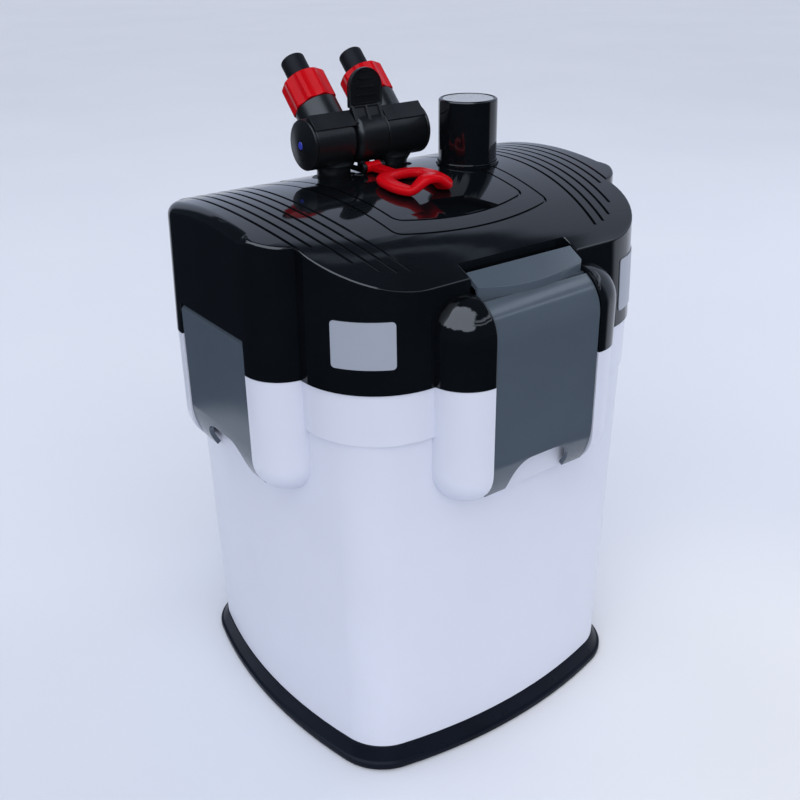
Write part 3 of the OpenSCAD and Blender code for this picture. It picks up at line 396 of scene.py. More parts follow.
def walk(start, *moves, plane=FLAT, close=True):
    """An outline from a start point, lines (x, y) and arcs (centre x, centre y, degrees, steps)."""
    bm = bmesh.new()
    v = bm.verts.new((*start, 0))
    for x, y, *arc in moves:
        if arc:
            turned = bmesh.ops.spin(bm, geom=[v], cent=(x, y, 0), axis=(0, 0, 1), angle=radians(arc[0]),
                                    steps=arc[1], use_merge=False)
            v = only(turned["geom_last"], BMVert)[0]
        else:
            v = bmesh.ops.extrude_vert_indiv(bm, verts=[v])["verts"][0]
            v.co = (x, y, 0)
    bmesh.ops.remove_doubles(bm, verts=bm.verts[:], dist=0.002)
    ends = [v for v in bm.verts if len(v.link_edges) == 1]
    if close and len(ends) == 2:
        bm.edges.new(ends)
    return placed(bm, plane)


def fill(bm):
    """Closes an outline with one face."""
    return bmesh.ops.contextual_create(bm, geom=bm.edges[:])["faces"][0]


def raised(bm, faces, move):
    """Extrudes faces by a move and gives back the new ones."""
    new = only(bmesh.ops.extrude_face_region(bm, geom=faces, use_keep_orig=True)["geom"], BMFace)
    bmesh.ops.translate(bm, vec=move, verts=list({v for f in new for v in f.verts}))
    return new


def round_square(half, corner, steps=14):
    """Straight-sided square with round corners."""
    c = half - corner
    return walk((half, -c), (half, c), (c, c, 90, steps), (-c, half), (-c, c, 90, steps), (-half, -c),
                (-c, -c, 90, steps), (c, -half), (c, -c, 90, steps))


print("outline helpers ready")

# %% [markdown]
# ## From an outline to a body
# These few steps repeat for every piece: bevel edges, slice, cut one body with another, spin a
# profile. `finish_piece` closes the work: it merges doubles, brings the mesh to metres, keeps flat
# faces flat in the shading, and hangs the piece on its body in the construction's place.

# %% Body helpers
def round_edges(bm, chosen, size, steps=3):
    """Rounds the chosen edges."""
    bmesh.ops.bevel(bm, geom=list(chosen), offset=size, offset_type="OFFSET", segments=steps, profile=0.5,
                    affect="EDGES", clamp_overlap=True, material=-1)


def sharp_edges(bm, angle=35, where=None):
    """Edges whose two faces meet at more than an angle."""
    return [e for e in bm.edges if len(e.link_faces) == 2 and e.calc_face_angle(0) > radians(angle)
            and (where is None or where((e.verts[0].co + e.verts[1].co) / 2))]


def open_edges(bm):
    """Edges at a hole's rim."""
    return [e for e in bm.edges if len(e.link_faces) == 1]


def sliced(bm, at, across, dist=1e-4, clear_outer=False):
    """Slices a whole body with a plane, or takes away what lies beyond it and closes the cut."""
    bmesh.ops.bisect_plane(bm, geom=bm.verts[:] + bm.edges[:] + bm.faces[:], plane_co=at, plane_no=across,
                           dist=dist, clear_outer=clear_outer)
    if clear_outer:
        bmesh.ops.contextual_create(bm, geom=open_edges(bm))


def strips(bm, y, last, pitch):
    """Slices a body into strips along X, so that it can follow the vault."""
    while y < last:
        sliced(bm, (0, y, 0), (0, 1, 0))
        y += pitch


def face_out(bm):
    """Turns every closed shell of a bmesh outward, told by the sign of its volume."""
    bmesh.ops.recalc_face_normals(bm, faces=bm.faces[:])
    left = set(bm.faces)
    while left:
        shell, edge = set(), [left.pop()]
        while edge:
            f = edge.pop()
            shell.add(f)
            for g in [g for e in f.edges for g in e.link_faces if g in left]:
                left.discard(g)
                edge.append(g)
        volume = 0.0
        for f in shell:
            corners = [v.co for v in f.verts]
            volume += sum(corners[0].dot(b.cross(c)) for b, c in zip(corners[1:], corners[2:]))
        if volume < 0:
            bmesh.ops.reverse_faces(bm, faces=list(shell))
    return bm


def solid(outline, move, start=(0, 0, 0)):
    """Fills an outline, brings it to its start and extrudes it into a closed body."""
    face = fill(outline)
    bmesh.ops.translate(outline, vec=start, verts=outline.verts[:])
    raised(outline, [face], move)
    return face_out(outline)


def stretched(outline, wide):
    """A side profile stretched across a lobe."""
    return solid(outline, (wide, 0, 0), (-wide / 2, 0, 0))


def block(x0, x1, y0, y1, z0, z1):
    """A box between two corners."""
    bm = bmesh.new()
    bmesh.ops.create_cube(bm, size=1)
    bmesh.ops.scale(bm, vec=(x1 - x0, y1 - y0, z1 - z0), verts=bm.verts[:])
    return placed(bm, Matrix.Translation(((x0 + x1) / 2, (y0 + y1) / 2, (z0 + z1) / 2)))


def cylinder(r, long, place, steps=72):
    """A cylinder whose middle lies at its place."""
    bm = bmesh.new()
    bmesh.ops.create_cone(bm, cap_ends=True, segments=steps, radius1=r, radius2=r, depth=long, matrix=place)
    return bm


def upright(x, y, r, z0, z1, steps=72):
    """A cylinder that stands between two heights."""
    return cylinder(r, z1 - z0, Matrix.Translation((x, y, (z0 + z1) / 2)), steps)


def lathe(profile, steps=72):
    """Spins a profile drawn as (radius, height) into a closed round body on the Z axis."""
    bmesh.ops.spin(profile, geom=profile.verts[:] + profile.edges[:], cent=(0, 0, 0), axis=(0, 0, 1),
                   angle=2 * pi, steps=steps, use_merge=True)
    bmesh.ops.remove_doubles(profile, verts=profile.verts[:], dist=0.001)
    return profile


def turned_to(bm, quarter):
    """Turns a piece made for the front to another side."""
    bmesh.ops.rotate(bm, cent=(0, 0, 0), matrix=Matrix.Rotation(quarter * pi / 2, 3, "Z"), verts=bm.verts[:])
    return bm


def join(*parts):
    """One bmesh from several."""
    whole = bmesh.new()
    for part in parts:
        data = bpy.data.meshes.new("part")
        part.to_mesh(data)
        whole.from_mesh(data)
        bpy.data.meshes.remove(data)
        part.free()
    return whole


def cut(bm, tool, how="DIFFERENCE"):
    """Cuts (or joins) one closed body with another by an exact Boolean, and gives back a bmesh."""
    body, knife = to_object(bm, "body"), to_object(tool, "knife")
    step = body.modifiers.new("cut", "BOOLEAN")
    step.operation = how
    step.solver = "EXACT"
    step.use_self = True
    step.object = knife
    done = body.evaluated_get(bpy.context.evaluated_depsgraph_get())
    result = bmesh.new()
    result.from_mesh(done.to_mesh())
    done.to_mesh_clear()
    for o in (body, knife):
        data = o.data
        bpy.data.objects.remove(o)
        bpy.data.meshes.remove(data)
    return result


def finish_piece(bm, name, body, slot, *nodes, smooth=32, recalc=False, finish=None):
    """Merges, scales to metres, shades, and hangs the piece on its body in place of construction nodes."""
    bmesh.ops.remove_doubles(bm, verts=bm.verts[:], dist=0.0008)
    if recalc:
        face_out(bm)
    odd = sum(1 for e in bm.edges if len(e.link_faces) != 2)
    bmesh.ops.scale(bm, vec=(0.001, 0.001, 0.001), verts=bm.verts[:])
    for face in bm.faces:
        face.smooth = True
    piece = to_object(bm, name)
    piece.data.set_sharp_from_angle(angle=radians(smooth))
    piece.data.materials.append(finishes[finish or slot])
    piece.modifiers.new("flat faces stay flat", "WEIGHTED_NORMAL").keep_sharp = True
    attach(piece, body)
    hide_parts(*nodes)
    print(f"{name}: {len(piece.data.polygons)} faces, {odd} edges without two faces")
    return piece


# %% [markdown]
# ## Bucket outline
# The bucket is a square whose sides bow outward and whose corners are round. A side is one arc about
# a far centre, a corner one arc about a near centre, and the two are tangent when the near centre lies
# on the line between the far one and the joint. Four spins of each kind walk all the way round.
# `loft` then carries such an outline from height to height.

# %% Bowed square
WALL, SIDE_R = 118.5, 340  # half the width of the wall's foot, radius of a bowed side
SEAM = 269.5  # height at which the head meets the bucket


def bowed_square(half, corner=34):
    """Outline of the bucket with half its width at the middle of a side."""
    k = half - SIDE_R
    c = (2 * k + sqrt(4 * k * k - 8 * (k * k - (SIDE_R - corner) ** 2))) / 4
    lean = degrees(atan2(c, c - k))
    first = (k + SIDE_R * cos(radians(-lean)), SIDE_R * sin(radians(-lean)))
    moves = []
    for x, y in ((1, 0), (0, 1), (-1, 0), (0, -1)):
        moves.append((k * x, k * y, 2 * lean, 14))
        moves.append((c * (x - y), c * (x + y), 90 - 2 * lean, 12))
    return walk(first, *moves)


def loft(outline, stations, closed=True):
    """Carries an outline through stations (half width, height); a closed one ends where it began."""
    edges = first = outline.edges[:]
    here = {v: v.co.copy() for v in outline.verts}
    for i, (half, height) in enumerate(stations):
        if i:
            out = bmesh.ops.extrude_edge_only(outline, edges=edges)["geom"]
            edges = only(out, BMEdge)
            here = {v: here[[e.other_vert(v) for e in v.link_edges if e.other_vert(v) in here][0]]
                    for v in only(out, BMVert)}
        for v, spot in here.items():
            v.co = (spot.x * (half / WALL), spot.y * (half / WALL), height)
    if closed:
        bmesh.ops.bridge_loops(outline, edges=first + edges)
    return outline


print("half width of the bucket:", WALL, "mm")

# %% [markdown]
# ## Bucket wall and collar
# The real bucket is one white moulding. Its wall widens a little towards the rim and is lofted with
# its inside, so it is hollow. A straighter collar stands on it and carries the head.

# %% Bucket wall and collar
wall = loft(bowed_square(WALL), [(115.5, 4), (115.5, 15), (WALL, 15), (1.0135 * WALL, 128), (121.7, 241.2),
                                 (121.5, 241.9), (119.5, 242), (109, 242), (109, 8)], closed=False)
rims = open_edges(wall)
for low in (True, False):
    bmesh.ops.contextual_create(wall, geom=[e for e in rims if (e.verts[0].co.z < 5) == low])

collar = round_square(117.5, 50.6)
fill(collar)
collar_top = raised(collar, collar.faces[:], (0, 0, 31.5))
bmesh.ops.translate(collar, vec=(0, 0, 238), verts=collar.verts[:])
bmesh.ops.inset_region(collar, faces=collar_top, thickness=5)
raised(collar, collar_top, (0, 0, -32))
bmesh.ops.delete(collar, geom=collar_top, context="FACES_ONLY")
round_edges(collar, [e for e in collar.edges if max(v.co.z for v in e.verts) < 238.1 and len(e.link_faces) == 2
                     and max(abs(e.verts[0].co.x), abs(e.verts[0].co.y)) > 113], 0.9, 2)
print("wall faces:", len(wall.faces), "collar faces:", len(collar.faces))

# %% [markdown]
# ## Bucket lobes
# Four lobes with ball-shaped ends stand out under the head's lobes. Each is a box with very wide
# bevels, because three bevels that meet make a ball. It has a channel for a clip, with a small
# bevel at its brink, and a ridge under which the clip hooks.

# %% Bucket lobes
CHANNEL = 39.6  # half the width of a clip's channel


def bucket_lobe():
    """One lobe towards the front, with its clip channel and catch ridge."""
    lobe = block(-65.1, 65.1, -139.6, -80, 191, SEAM)
    outer = [e for e in lobe.edges if all(v.co.y < -100 for v in e.verts) and not all(v.co.z > 260 for v in e.verts)]
    bottom = [e for e in lobe.edges if all(v.co.z < 200 for v in e.verts) and any(v.co.y < -100 for v in e.verts)]
    round_edges(lobe, set(outer) | set(bottom), 24, 12)
    sliced(lobe, (0, -111, 0), (0, 1, 0), dist=0, clear_outer=True)
    lobe = cut(lobe, block(-CHANNEL, CHANNEL, -150, -127.5, 150, 280))
    round_edges(lobe, sharp_edges(lobe, 40, lambda m: m.y < -127.7 and m.z < SEAM - 0.2), 1.1)
    ridge = block(-34, 34, -134, -125, 243, 249)
    round_edges(ridge, [e for e in ridge.edges if all(v.co.y < -130 for v in e.verts)], 0.8, 2)
    return join(lobe, ridge)


lobes = [turned_to(bucket_lobe(), quarter) for quarter in range(4)]
finish_piece(join(wall, collar, *lobes), "bucket", "housing", "white_body", "canister", "channel_cheeks", recalc=True)

# %% [markdown]
# ## Foot band
# A dark band runs round the foot, with a lip that spreads onto the floor and a slope that meets the
# bucket. It is the bucket's own outline again, lofted through a few widths, and the two loops that
# form the lip lie close together so that it catches a thin line of light.

# %% Foot band
band = loft(bowed_square(WALL, 36), [(115.7, 0.6), (123.7, 0.6), (124.3, 1.1), (124.5, 1.9), (124.5, 4.0),
                                     (124.2, 4.8), (123.4, 5.2), (122.9, 5.5), (122.5, 6.2), (119.3, 14.2),
                                     (118.9, 14.8), (118.2, 15), (115.7, 15)])
finish_piece(band, "foot_band_dressed", "housing", "foot_rubber", "foot_band", smooth=40, recalc=True)

# %% [markdown]
# ## Head shell
# The glossy head is a rounded square with a lobe over each clip. Its top is a shallow vault, a
# cylinder lying left to right. Its edge is rounded, tightly at the corners and widely on the lobes, by
# raising the outline ring by ring. A vault of this kind is easy to get clean when the body is cut
# into strips along the cylinder and every point is then set to the vault's height. The same height
# rule later gives the deck its exact normals, so the mirror-like plastic shows smooth reflections.

# %% Head outline and vaulted top
HEAD, HEAD_CORNER, REACH = 118.7, 51.8, 140  # half width, corner radius, reach of a lobe
LOBE, LOBE_R = 65.5, 24  # half width and corner radius of a lobe
EDGE_R, LOBE_EDGE_R = 1.0, 7.5  # radius of the deck's edge, at the corners and on a lobe
VAULT_R, VAULT_Z = 258, 95.9  # radius of the vault, height of its axis
LIFT = 200  # height of the raised block, before it is set onto the vault


def deck(y, lower=0.0):
    """Height of the vaulted deck."""
    return VAULT_Z + sqrt((VAULT_R - lower) ** 2 - y * y)


def edge_radius(x, y):
    """Radius of the deck's edge: tight at the corners, wide on the left and right lobes."""
    share = min(1.0, max(0.0, (abs(x) - 118) / 8)) * min(1.0, max(0.2, (y + 54) / 16))
    return EDGE_R + (LOBE_EDGE_R - EDGE_R) * share * share * (3 - 2 * share)


def vaulted(bm, z0, edge=True, lower=0.0, draft=0.986, pitch_y=5.0):
    """Raises a filled outline from z0 to the vault, ring by ring, with a rounded edge."""
    base = bm.faces[:][0]
    bmesh.ops.translate(bm, vec=(0, 0, z0), verts=bm.verts[:])
    rows, around = {}, base.verts[:]
    for before, v, after in zip(around[-1:] + around, around, around[1:] + around[:1]):
        lines = [q.co.xy - p.co.xy for p, q in ((before, v), (v, after))]
        n1, n2 = (Vector((-d.y, d.x)).normalized() * (1 if base.normal.z > 0 else -1) for d in lines)
        rows[v] = (v.co.xy * draft, (n1 + n2) / (1 + n1.dot(n2)), edge_radius(*v.co.xy) if edge else 0.0)
    edges = base.edges[:]
    for i in range(7 if edge else 1):
        a = i * pi / 12
        out = bmesh.ops.extrude_edge_only(bm, edges=edges)["geom"]
        edges = only(out, BMEdge)
        risen = {}
        for v in only(out, BMVert):
            spot, inward, r = risen[v] = rows[[e.other_vert(v) for e in v.link_edges if e.other_vert(v) in rows][0]]
            v.co = (*(spot + inward * r * (1 - cos(a))), z0 + LIFT - r * (1 - sin(a)))
        rows = risen
    bmesh.ops.contextual_create(bm, geom=edges)
    strips(bm, -117.5, 118, pitch_y)
    for v in bm.verts:
        rise = deck(v.co.y, lower) - z0
        v.co.z = v.co.z + rise - LIFT if v.co.z > z0 + LIFT - 8 else z0 + (v.co.z - z0) * rise / LIFT
    return face_out(bm)


def head_outline():
    """Rounded square with a lobe to the left and right."""
    c, reach, side = HEAD - HEAD_CORNER, REACH - LOBE_R, LOBE - LOBE_R
    lean = degrees(acos((HEAD - reach) / LOBE_R))
    low = side + LOBE_R * sin(radians(lean))
    return walk((HEAD, -low), (reach, -side, lean, 10), (REACH, side), (reach, side, lean, 10), (HEAD, c),
                (c, c, 90, 16), (-c, HEAD), (-c, c, 90, 16), (-HEAD, low), (-reach, side, lean, 10), (-REACH, -side),
                (-reach, -side, lean, 10), (-HEAD, -c), (-c, -c, 90, 16), (c, -HEAD), (c, -c, 90, 16))


head = head_outline()
fill(head)
vaulted(head, SEAM)
print("head shell:", len(head.faces), "faces, top at", round(max(v.co.z for v in head.verts), 2))

# %% [markdown]
# ## Head lobes and pockets
# The front and back lobes don't reach the deck: they end in a domed shoulder. They are blocks with
# wide bevels, joined to the shell. The shell is hollowed, each lobe is cut open for its clip, and the
# edges of the cut get a small bevel, because it draws the bright line beside every clip.

# %% Lobes, pockets and inside
def head_lobe():
    """Front lobe of the head with its domed shoulder."""
    lobe = block(-LOBE, LOBE, -REACH, -95, SEAM, 318)
    round_edges(lobe, [e for e in lobe.edges if all(v.co.y < -130 for v in e.verts)
                       and e.verts[0].co.x == e.verts[1].co.x], 24, 12)
    rim = [e for e in lobe.edges if all(v.co.z > 317 for v in e.verts) and not all(v.co.y > -96 for v in e.verts)]
    round_edges(lobe, rim, 21.5, 12)
    return lobe


def pocket(front):
    """Room for a clip in a lobe: a front one also opens the deck."""
    if not front:
        return block(-CHANNEL, CHANNEL, -150, -126, 260, 290)
    return stretched(walk((105.7, 400), (105.7, 323), (100.5, 323), (100.5, 299), (127.5, 299), (127.5, 260),
                          (160, 260), (160, 400), plane=SIDE), 2 * CHANNEL)


for quarter in (0, 2):
    head = cut(head, turned_to(head_lobe(), quarter), "UNION")
hollow_low = solid(round_square(115.6, 48.7, 8), (0, 0, 27), (0, 0, 268))
hollow_high = round_square(97.2, 31, 8)
fill(hollow_high)
vaulted(hollow_high, 294, edge=False, lower=3, draft=1.0, pitch_y=10)
hollow_high = face_out(cut(hollow_high, block(-28, 30, -76, -40, deck(-66) - 9, 400)))
for tool in (hollow_low, hollow_high, *[turned_to(pocket(q % 2 == 0), q) for q in range(4)]):
    head = cut(head, tool)


def at_pocket(m):
    """Whether a point lies on the side wall of one of the four pockets."""
    sides = ((-m.y, m.x), (m.y, m.x), (-m.x, m.y), (m.x, m.y))
    return any(out > 106.2 and abs(abs(along) - CHANNEL) < 0.02 and m.z > 269.8 for out, along in sides)


brink = sharp_edges(head, 40, at_pocket)
round_edges(head, brink, 0.8, 2)
bmesh.ops.remove_doubles(head, verts=head.verts[:], dist=0.001)
print("head with pockets:", len(head.faces), "faces, brink edges:", len(brink))

# %% [markdown]
# ## Deck grooves
# Six bowed grooves on each side and two outlines round the taps are sunk into the vault. A groove is
# a small section spun about the bow's far centre and then set onto the vault, point by point, so its
# depth stays the same all along. The six of a side are cut in one Boolean.

# %% Grooves
def groove(x, side):
    """Cutter for one groove whose middle lies at x: a spun strip, 2.2 wide and 1.1 deep."""
    bow, c = 332.0, HEAD - HEAD_CORNER
    end = c
    for _ in range(12):
        at = x - bow + sqrt(bow * bow - end * end)
        end = c + sqrt(max(36 ** 2 - (at - c) ** 2, 1))
    swing = asin(end / bow)
    section = ((-0.6, -1.1), (0.6, -1.1), (1.1, 0.1), (1.1, 3), (-1.1, 3), (-1.1, 0.1))
    strip = bmesh.new()
    corners = [strip.verts.new((x + wide, 0, high)) for wide, high in section]
    face = strip.faces.new(corners)
    bmesh.ops.rotate(strip, cent=(x - bow, 0, 0), matrix=Matrix.Rotation(-swing, 3, "Z"), verts=corners)
    bmesh.ops.spin(strip, geom=[face], cent=(x - bow, 0, 0), axis=(0, 0, 1), angle=2 * swing, steps=40,
                   use_merge=False)
    for v in strip.verts:
        v.co = (v.co.x * side, v.co.y, v.co.z + deck(v.co.y))
    return face_out(strip)


def panel_groove(half_wide, slope, front, bow, corner, back):
    """Cutter for an outline round the taps, with a bowed front and sides that draw in."""
    lean = degrees(atan(slope))
    k = bow - front
    cy = -front + 1.5 * corner + 3
    cx = half_wide + slope * (cy + 45) - corner / cos(radians(lean))
    meet = degrees(atan2(cx, k - cy))
    far = back - 3 * corner
    side = half_wide + slope * (far + 45)
    line = walk((0, -front), (0, k, meet, 10), (cx, cy, 90 - lean - meet, 8), (side, far), (side - 3 * corner, back),
                (0, back), close=False)
    bmesh.ops.mirror(line, geom=line.verts[:] + line.edges[:], axis="X", merge_dist=0.01)
    face = fill(line)
    rim = bmesh.ops.inset_region(line, faces=[face], thickness=1.6, use_boundary=True)["faces"]
    bmesh.ops.delete(line, geom=[face], context="FACES")
    raised(line, rim, (0, 0, 4))
    strips(line, -90.0, 95, 6)
    for v in line.verts:
        v.co.z += deck(v.co.y) - 1
    return face_out(line)


TAP_X, TAP_Y, TAP_Z, SPOUT = -5.3, 34.0, 373.5, 22.25
PRIMER = (56, 2)
head = cut(head, join(*[upright(TAP_X + side * SPOUT, TAP_Y, 14.1, 320, 380) for side in (-1, 1)],
                      upright(*PRIMER, 20.6, 320, 380)))
head = cut(head, placed(upright(0, 0, 10.1, 0, 60, 40),
                        Matrix.Translation((78, 100, 300)) @ Matrix.Rotation(-pi / 2, 4, "X")))
for side in (-1, 1):
    head = cut(head, join(*[groove(85.2 + 7.6 * i, side) for i in range(6)]))
head = cut(head, panel_groove(60.4, 0.078, 82.8, 195, 8, 92))
head = cut(head, panel_groove(49.8, 0.055, 70.3, 131, 8, 80))
print("head with grooves:", len(head.faces), "faces")

# %% [markdown]
# ## Finger scoop
# In front of the lock ring the deck dips into a flat hollow, so that a finger gets under the ring.
# One of its sides slopes gently. The cutter is an outline raised into a block, with one side sliced off
# at a slant, and it is tilted to the deck before the cut.

# %% Scoop
scoop = solid(walk((-14, 11.5), (-21.5, -12), (24, -10.5), (11.5, 8.5)), (0, 0, 16), (0, 0, -5))
skew = Matrix.Rotation(radians(-14), 3, "Z")
sliced(scoop, skew @ Vector((-6.6, 0, -5.5)), -(skew @ Vector((6.3, 0, 11.4))).normalized(), dist=0, clear_outer=True)
face_out(scoop)
placed(scoop, Matrix.Translation((0, -57.5, deck(-57.5))) @ Matrix.Rotation(radians(13), 4, "X"))
head = cut(head, scoop)
print("head with scoop:", len(head.faces), "faces")

# %% [markdown]
# ## Deck normals
# A mirror-like surface shows every flaw in its normals. The strips of the vault are flat, and the
# grooves cut them into long thin faces, so averaged normals would ripple. The true normal of a
# cylinder is known, so it is written onto every corner that lies on the vault, and the rest keep
# the averaged one.

# %% Head shell finished
bmesh.ops.remove_doubles(head, verts=head.verts[:], dist=0.005)
bmesh.ops.dissolve_degenerate(head, edges=head.edges[:], dist=0.001)
head_shell = finish_piece(head, "head_shell", "housing", "gloss_black", "head_cover", smooth=34)
data = head_shell.data
weighed = head_shell.evaluated_get(bpy.context.evaluated_depsgraph_get())
corner_normals = [c.vector.copy() for c in weighed.data.corner_normals]
head_shell.modifiers.clear()
on_vault = 0
for poly in data.polygons:
    points = [data.vertices[i].co * 1000 for i in poly.vertices]
    if poly.normal.z > 0.8 and all(abs(p.z - deck(p.y)) < 0.012 for p in points):
        on_vault += 1
        for loop, p in zip(poly.loop_indices, points):
            corner_normals[loop] = Vector((0, p.y, sqrt(VAULT_R ** 2 - p.y ** 2))).normalized()
data.normals_split_custom_set(corner_normals)
print("faces on the vault:", on_vault)

# %% [markdown]
# ## Clips
# Each clip is one bent strip: a shoulder, a straight face and a foot that curls inward to hook under
# the bucket's ridge. Its side profile is drawn with lines and arcs and stretched across the lobe,
# the finger arch is cut from its foot, and every edge is then rounded a little, because clips are
# handled and their edges draw thin lights.

# %% Clip shapes
FACE, THICK, CLIP_WIDE = 139.0, 3.0, 78  # a clip's outer face, its thickness and its width
CURL_R, CURL_Z = 48.3, 222.0  # radius of the foot's curl, height at which it starts
curl = degrees(asin((CURL_Z - 196) / CURL_R))


def on_arc(x, z, r, angle):
    """A point on an arc of a side profile."""
    return x + r * cos(radians(angle)), z + r * sin(radians(angle))


def finger_arch():
    """Cutter for the arch in a clip's foot."""
    top, half, r = 216, 23, 14
    outline = walk((half, 180), (half, top - r), (half - r, top - r, 90, 8), (r - half, top),
                   (r - half, top - r, 90, 8), (-half, 180))
    return placed(solid(outline, (0, 0, 60)), Matrix.Translation((0, -100, 0)) @ LATHE)


def rod(out, z, r, wide):
    """Round bar across a lobe."""
    return cylinder(r, wide, Matrix.Translation((0, -out, z)) @ ACROSS, 32)


def clip_top():
    """Sloping plate behind the shoulder of a front clip, its front edge bowed like the deck's."""
    plate = stretched(walk((112, 327.7), (132, 315.9), (132, 309), (121, 312.2), (119.6, 319.6), (110.8, 324.6),
                           plane=SIDE), CLIP_WIDE)
    plate = cut(plate, cylinder(152, 60, Matrix.Translation((0, 152 - 126.8, 318)), 300), "INTERSECT")
    round_edges(plate, sharp_edges(plate, 50, lambda m: m.z > 313.5), 0.45, 2)
    return plate


def clip(tall):
    """Front clip (tall) or side clip."""
    c = FACE - CURL_R
    if tall:
        shoulder = (FACE - 24.6, 293)
        top = [(FACE, 293), (*shoulder, 62, 14), on_arc(*shoulder, 24.6 - THICK, 62), (*shoulder, -62, 14)]
        out, z, r, pin = 122, 310, 4.2, 1.97
    else:
        top = [(FACE, 286), (FACE - 1.8, 288), (FACE - THICK, 288)]
        out, z, r, pin = 133, 283, 3.4, 1.67
    profile = walk(on_arc(c, CURL_Z, CURL_R, -curl), (c, CURL_Z, curl, 10), *top, (FACE - THICK, CURL_Z),
                   (c, CURL_Z, -curl, 10), on_arc(c, CURL_Z, CURL_R - THICK, -curl), plane=SIDE)
    upper = [clip_top(), block(-39, 39, -124, -120, 313.4, 315)] if tall else []
    body = cut(stretched(profile, CLIP_WIDE), finger_arch())
    round_edges(body, sharp_edges(body, 45), 0.7)
    hook = stretched(walk((137, 235), (131.5, 238), (131.5, 242), (137, 242), plane=SIDE), 60)
    hinge = cut(rod(out, z, r, CLIP_WIDE), rod(out, z, pin, 100))
    return join(body, hook, hinge, *upper)


for quarter, name in enumerate(("clip_front", "clip_right", "clip_back", "clip_left")):
    finish_piece(turned_to(clip(quarter % 2 == 0), quarter), name + "_dressed", name, "clip_grey", name, smooth=30)

# %% [markdown]
# ## Round parts
# Round parts are spun from a profile of (radius, height) and then laid on their axis, and small arcs
# in the profile round the rims. The taps share one axis from left to right, and their spouts lean
# back from it.

# %% Spun parts
AT_TAPS = Matrix.Translation((TAP_X, TAP_Y, TAP_Z))
AT_LOCK = Matrix.Translation((-7.8, 19.2, 357.0))
AT_PRIMER = Matrix.Translation((*PRIMER, 0))
ALONG_X = AT_TAPS @ ACROSS
LEAN = Matrix.Rotation(-pi / 4, 4, "X")


def along_spout(side):
    """Place of a spout: its Z axis leans back by 45 degrees from the taps' axis."""
    return Matrix.Translation((TAP_X + side * SPOUT, TAP_Y, TAP_Z)) @ LEAN


def along_tap(side):
    """Place of a barrel: its Z axis points outward to its own side."""
    return ALONG_X if side > 0 else ALONG_X @ Matrix.Rotation(pi, 4, "X")


def spun(place, start, *moves, steps=72, close=False):
    """A round body from its half profile, laid in its place."""
    return placed(face_out(lathe(walk(start, *moves, plane=LATHE, close=close), steps)), place)


def rimmed(r, z0, z1, low=0.8, high=0.8, place=FLAT, steps=72):
    """Round bar with rounded rims."""
    return spun(place, (0, z0), (r - low, z0), (r - low, z0 + low, 90, 4), (r, z1 - high), (r - high, z1 - high, 90, 4),
                (0, z1), steps=steps)


def box_rounded(size, place=FLAT, edge=0.7, steps=2):
    """Box with rounded edges: two corners, then its place."""
    bar = block(*size)
    round_edges(bar, bar.edges[:], edge, steps)
    return placed(bar, place)


print("taps' axis at", (TAP_X, TAP_Y, TAP_Z))

# %% [markdown]
# ## Tap block
# The block is two ball taps in one moulding: two barrels on one axis, a leaning socket and an upright
# stub on each, and a flat ledge where the mould parts. In front of it two lugs carry the lock ring.
# Domed caps with a small coloured dot close the barrels.

# %% Tap block
parts = []
for side in (-1, 1):
    rim = 5.5 if side < 0 else 0.8
    parts.append(spun(along_tap(side), (0, 11.4), (15.5 - rim, 11.4), (15.5 - rim, 11.4 + rim, 90, 8), (15.5, 37.2),
                      (15.7, 37.6), (15.7, 41.4), (15.2, 41.4, 90, 3), (0, 41.9)))
    parts.append(rimmed(14.2, 0, 25.3, 0.5, 1.0, along_spout(side)))
    parts.append(rimmed(12.0, 20, 40.8, 0.3, 0.6, along_spout(side)))
    parts.append(spun(Matrix.Translation((TAP_X + side * SPOUT, TAP_Y, 0)), (0, 322), (10.8, 322), (10.8, 355.5),
                      (10.8 + 2.5, 359.6), (0, 372)))
    x0, x1 = (-42, -12) if side < 0 else (12, 42)
    parts.append(box_rounded((x0, x1, -16.4, 0, -1.6, 9.8), AT_TAPS @ LEAN, 0.3))
    parts.append(box_rounded((side * 12.9 - 1.5, side * 12.9 + 1.5, -2, 18, -17, -1), AT_TAPS, 0.4))
parts.append(box_rounded((-14, 14, 14, 19, -17, 3), AT_TAPS, 0.9, 3))
for x in (-8.2, 5.6):
    parts.append(box_rounded((x, x + 2.6, 0, 29, -3, 0), AT_LOCK, 0.3))
    parts.append(box_rounded((x, x + 2.6, -0.3, 5.3, -2.9, 3), AT_LOCK, 0.3))
    parts.append(rimmed(3, x, x + 2.6, 0.3, 0.3, AT_LOCK @ ACROSS, 32))
finish_piece(join(*parts), "tap_block", "housing", "tap_black", "tap_body")

for side, word, colour in ((-1, "left", "blue"), (1, "right", "red")):
    dome = spun(along_tap(side), (0, 38), (11.9, 38), (11.9, 42.05), (15.2, 42.05), (14.6, 43.0, 100, 4), (9, 45.3),
                (4.5, 46.0), (2.7, 46.1), (2.6, 45.0), (0, 45.0))
    dot = spun(along_tap(side), (0, 44.9), (2.5, 44.9), (2.5, 45.9), (2.2, 46.15), (0, 46.2), steps=32)
    cap_name = "tap_cap_" + word
    finish_piece(dome, cap_name + "_dressed", "housing", "tap_black", cap_name, smooth=40)
    finish_piece(dot, colour + "_flow_dot", "housing", "mark_" + colour, "flow_mark_" + word)

# %% [markdown]
# ## Lever
# One lever turns both ball taps. Its hub sits between the barrels, three webs rise from it, and they
# carry an upright thumb tongue with a raised border and five ridges. The tongue is an outline with a
# half-round top; its border is what remains when the middle is inset and pushed back.

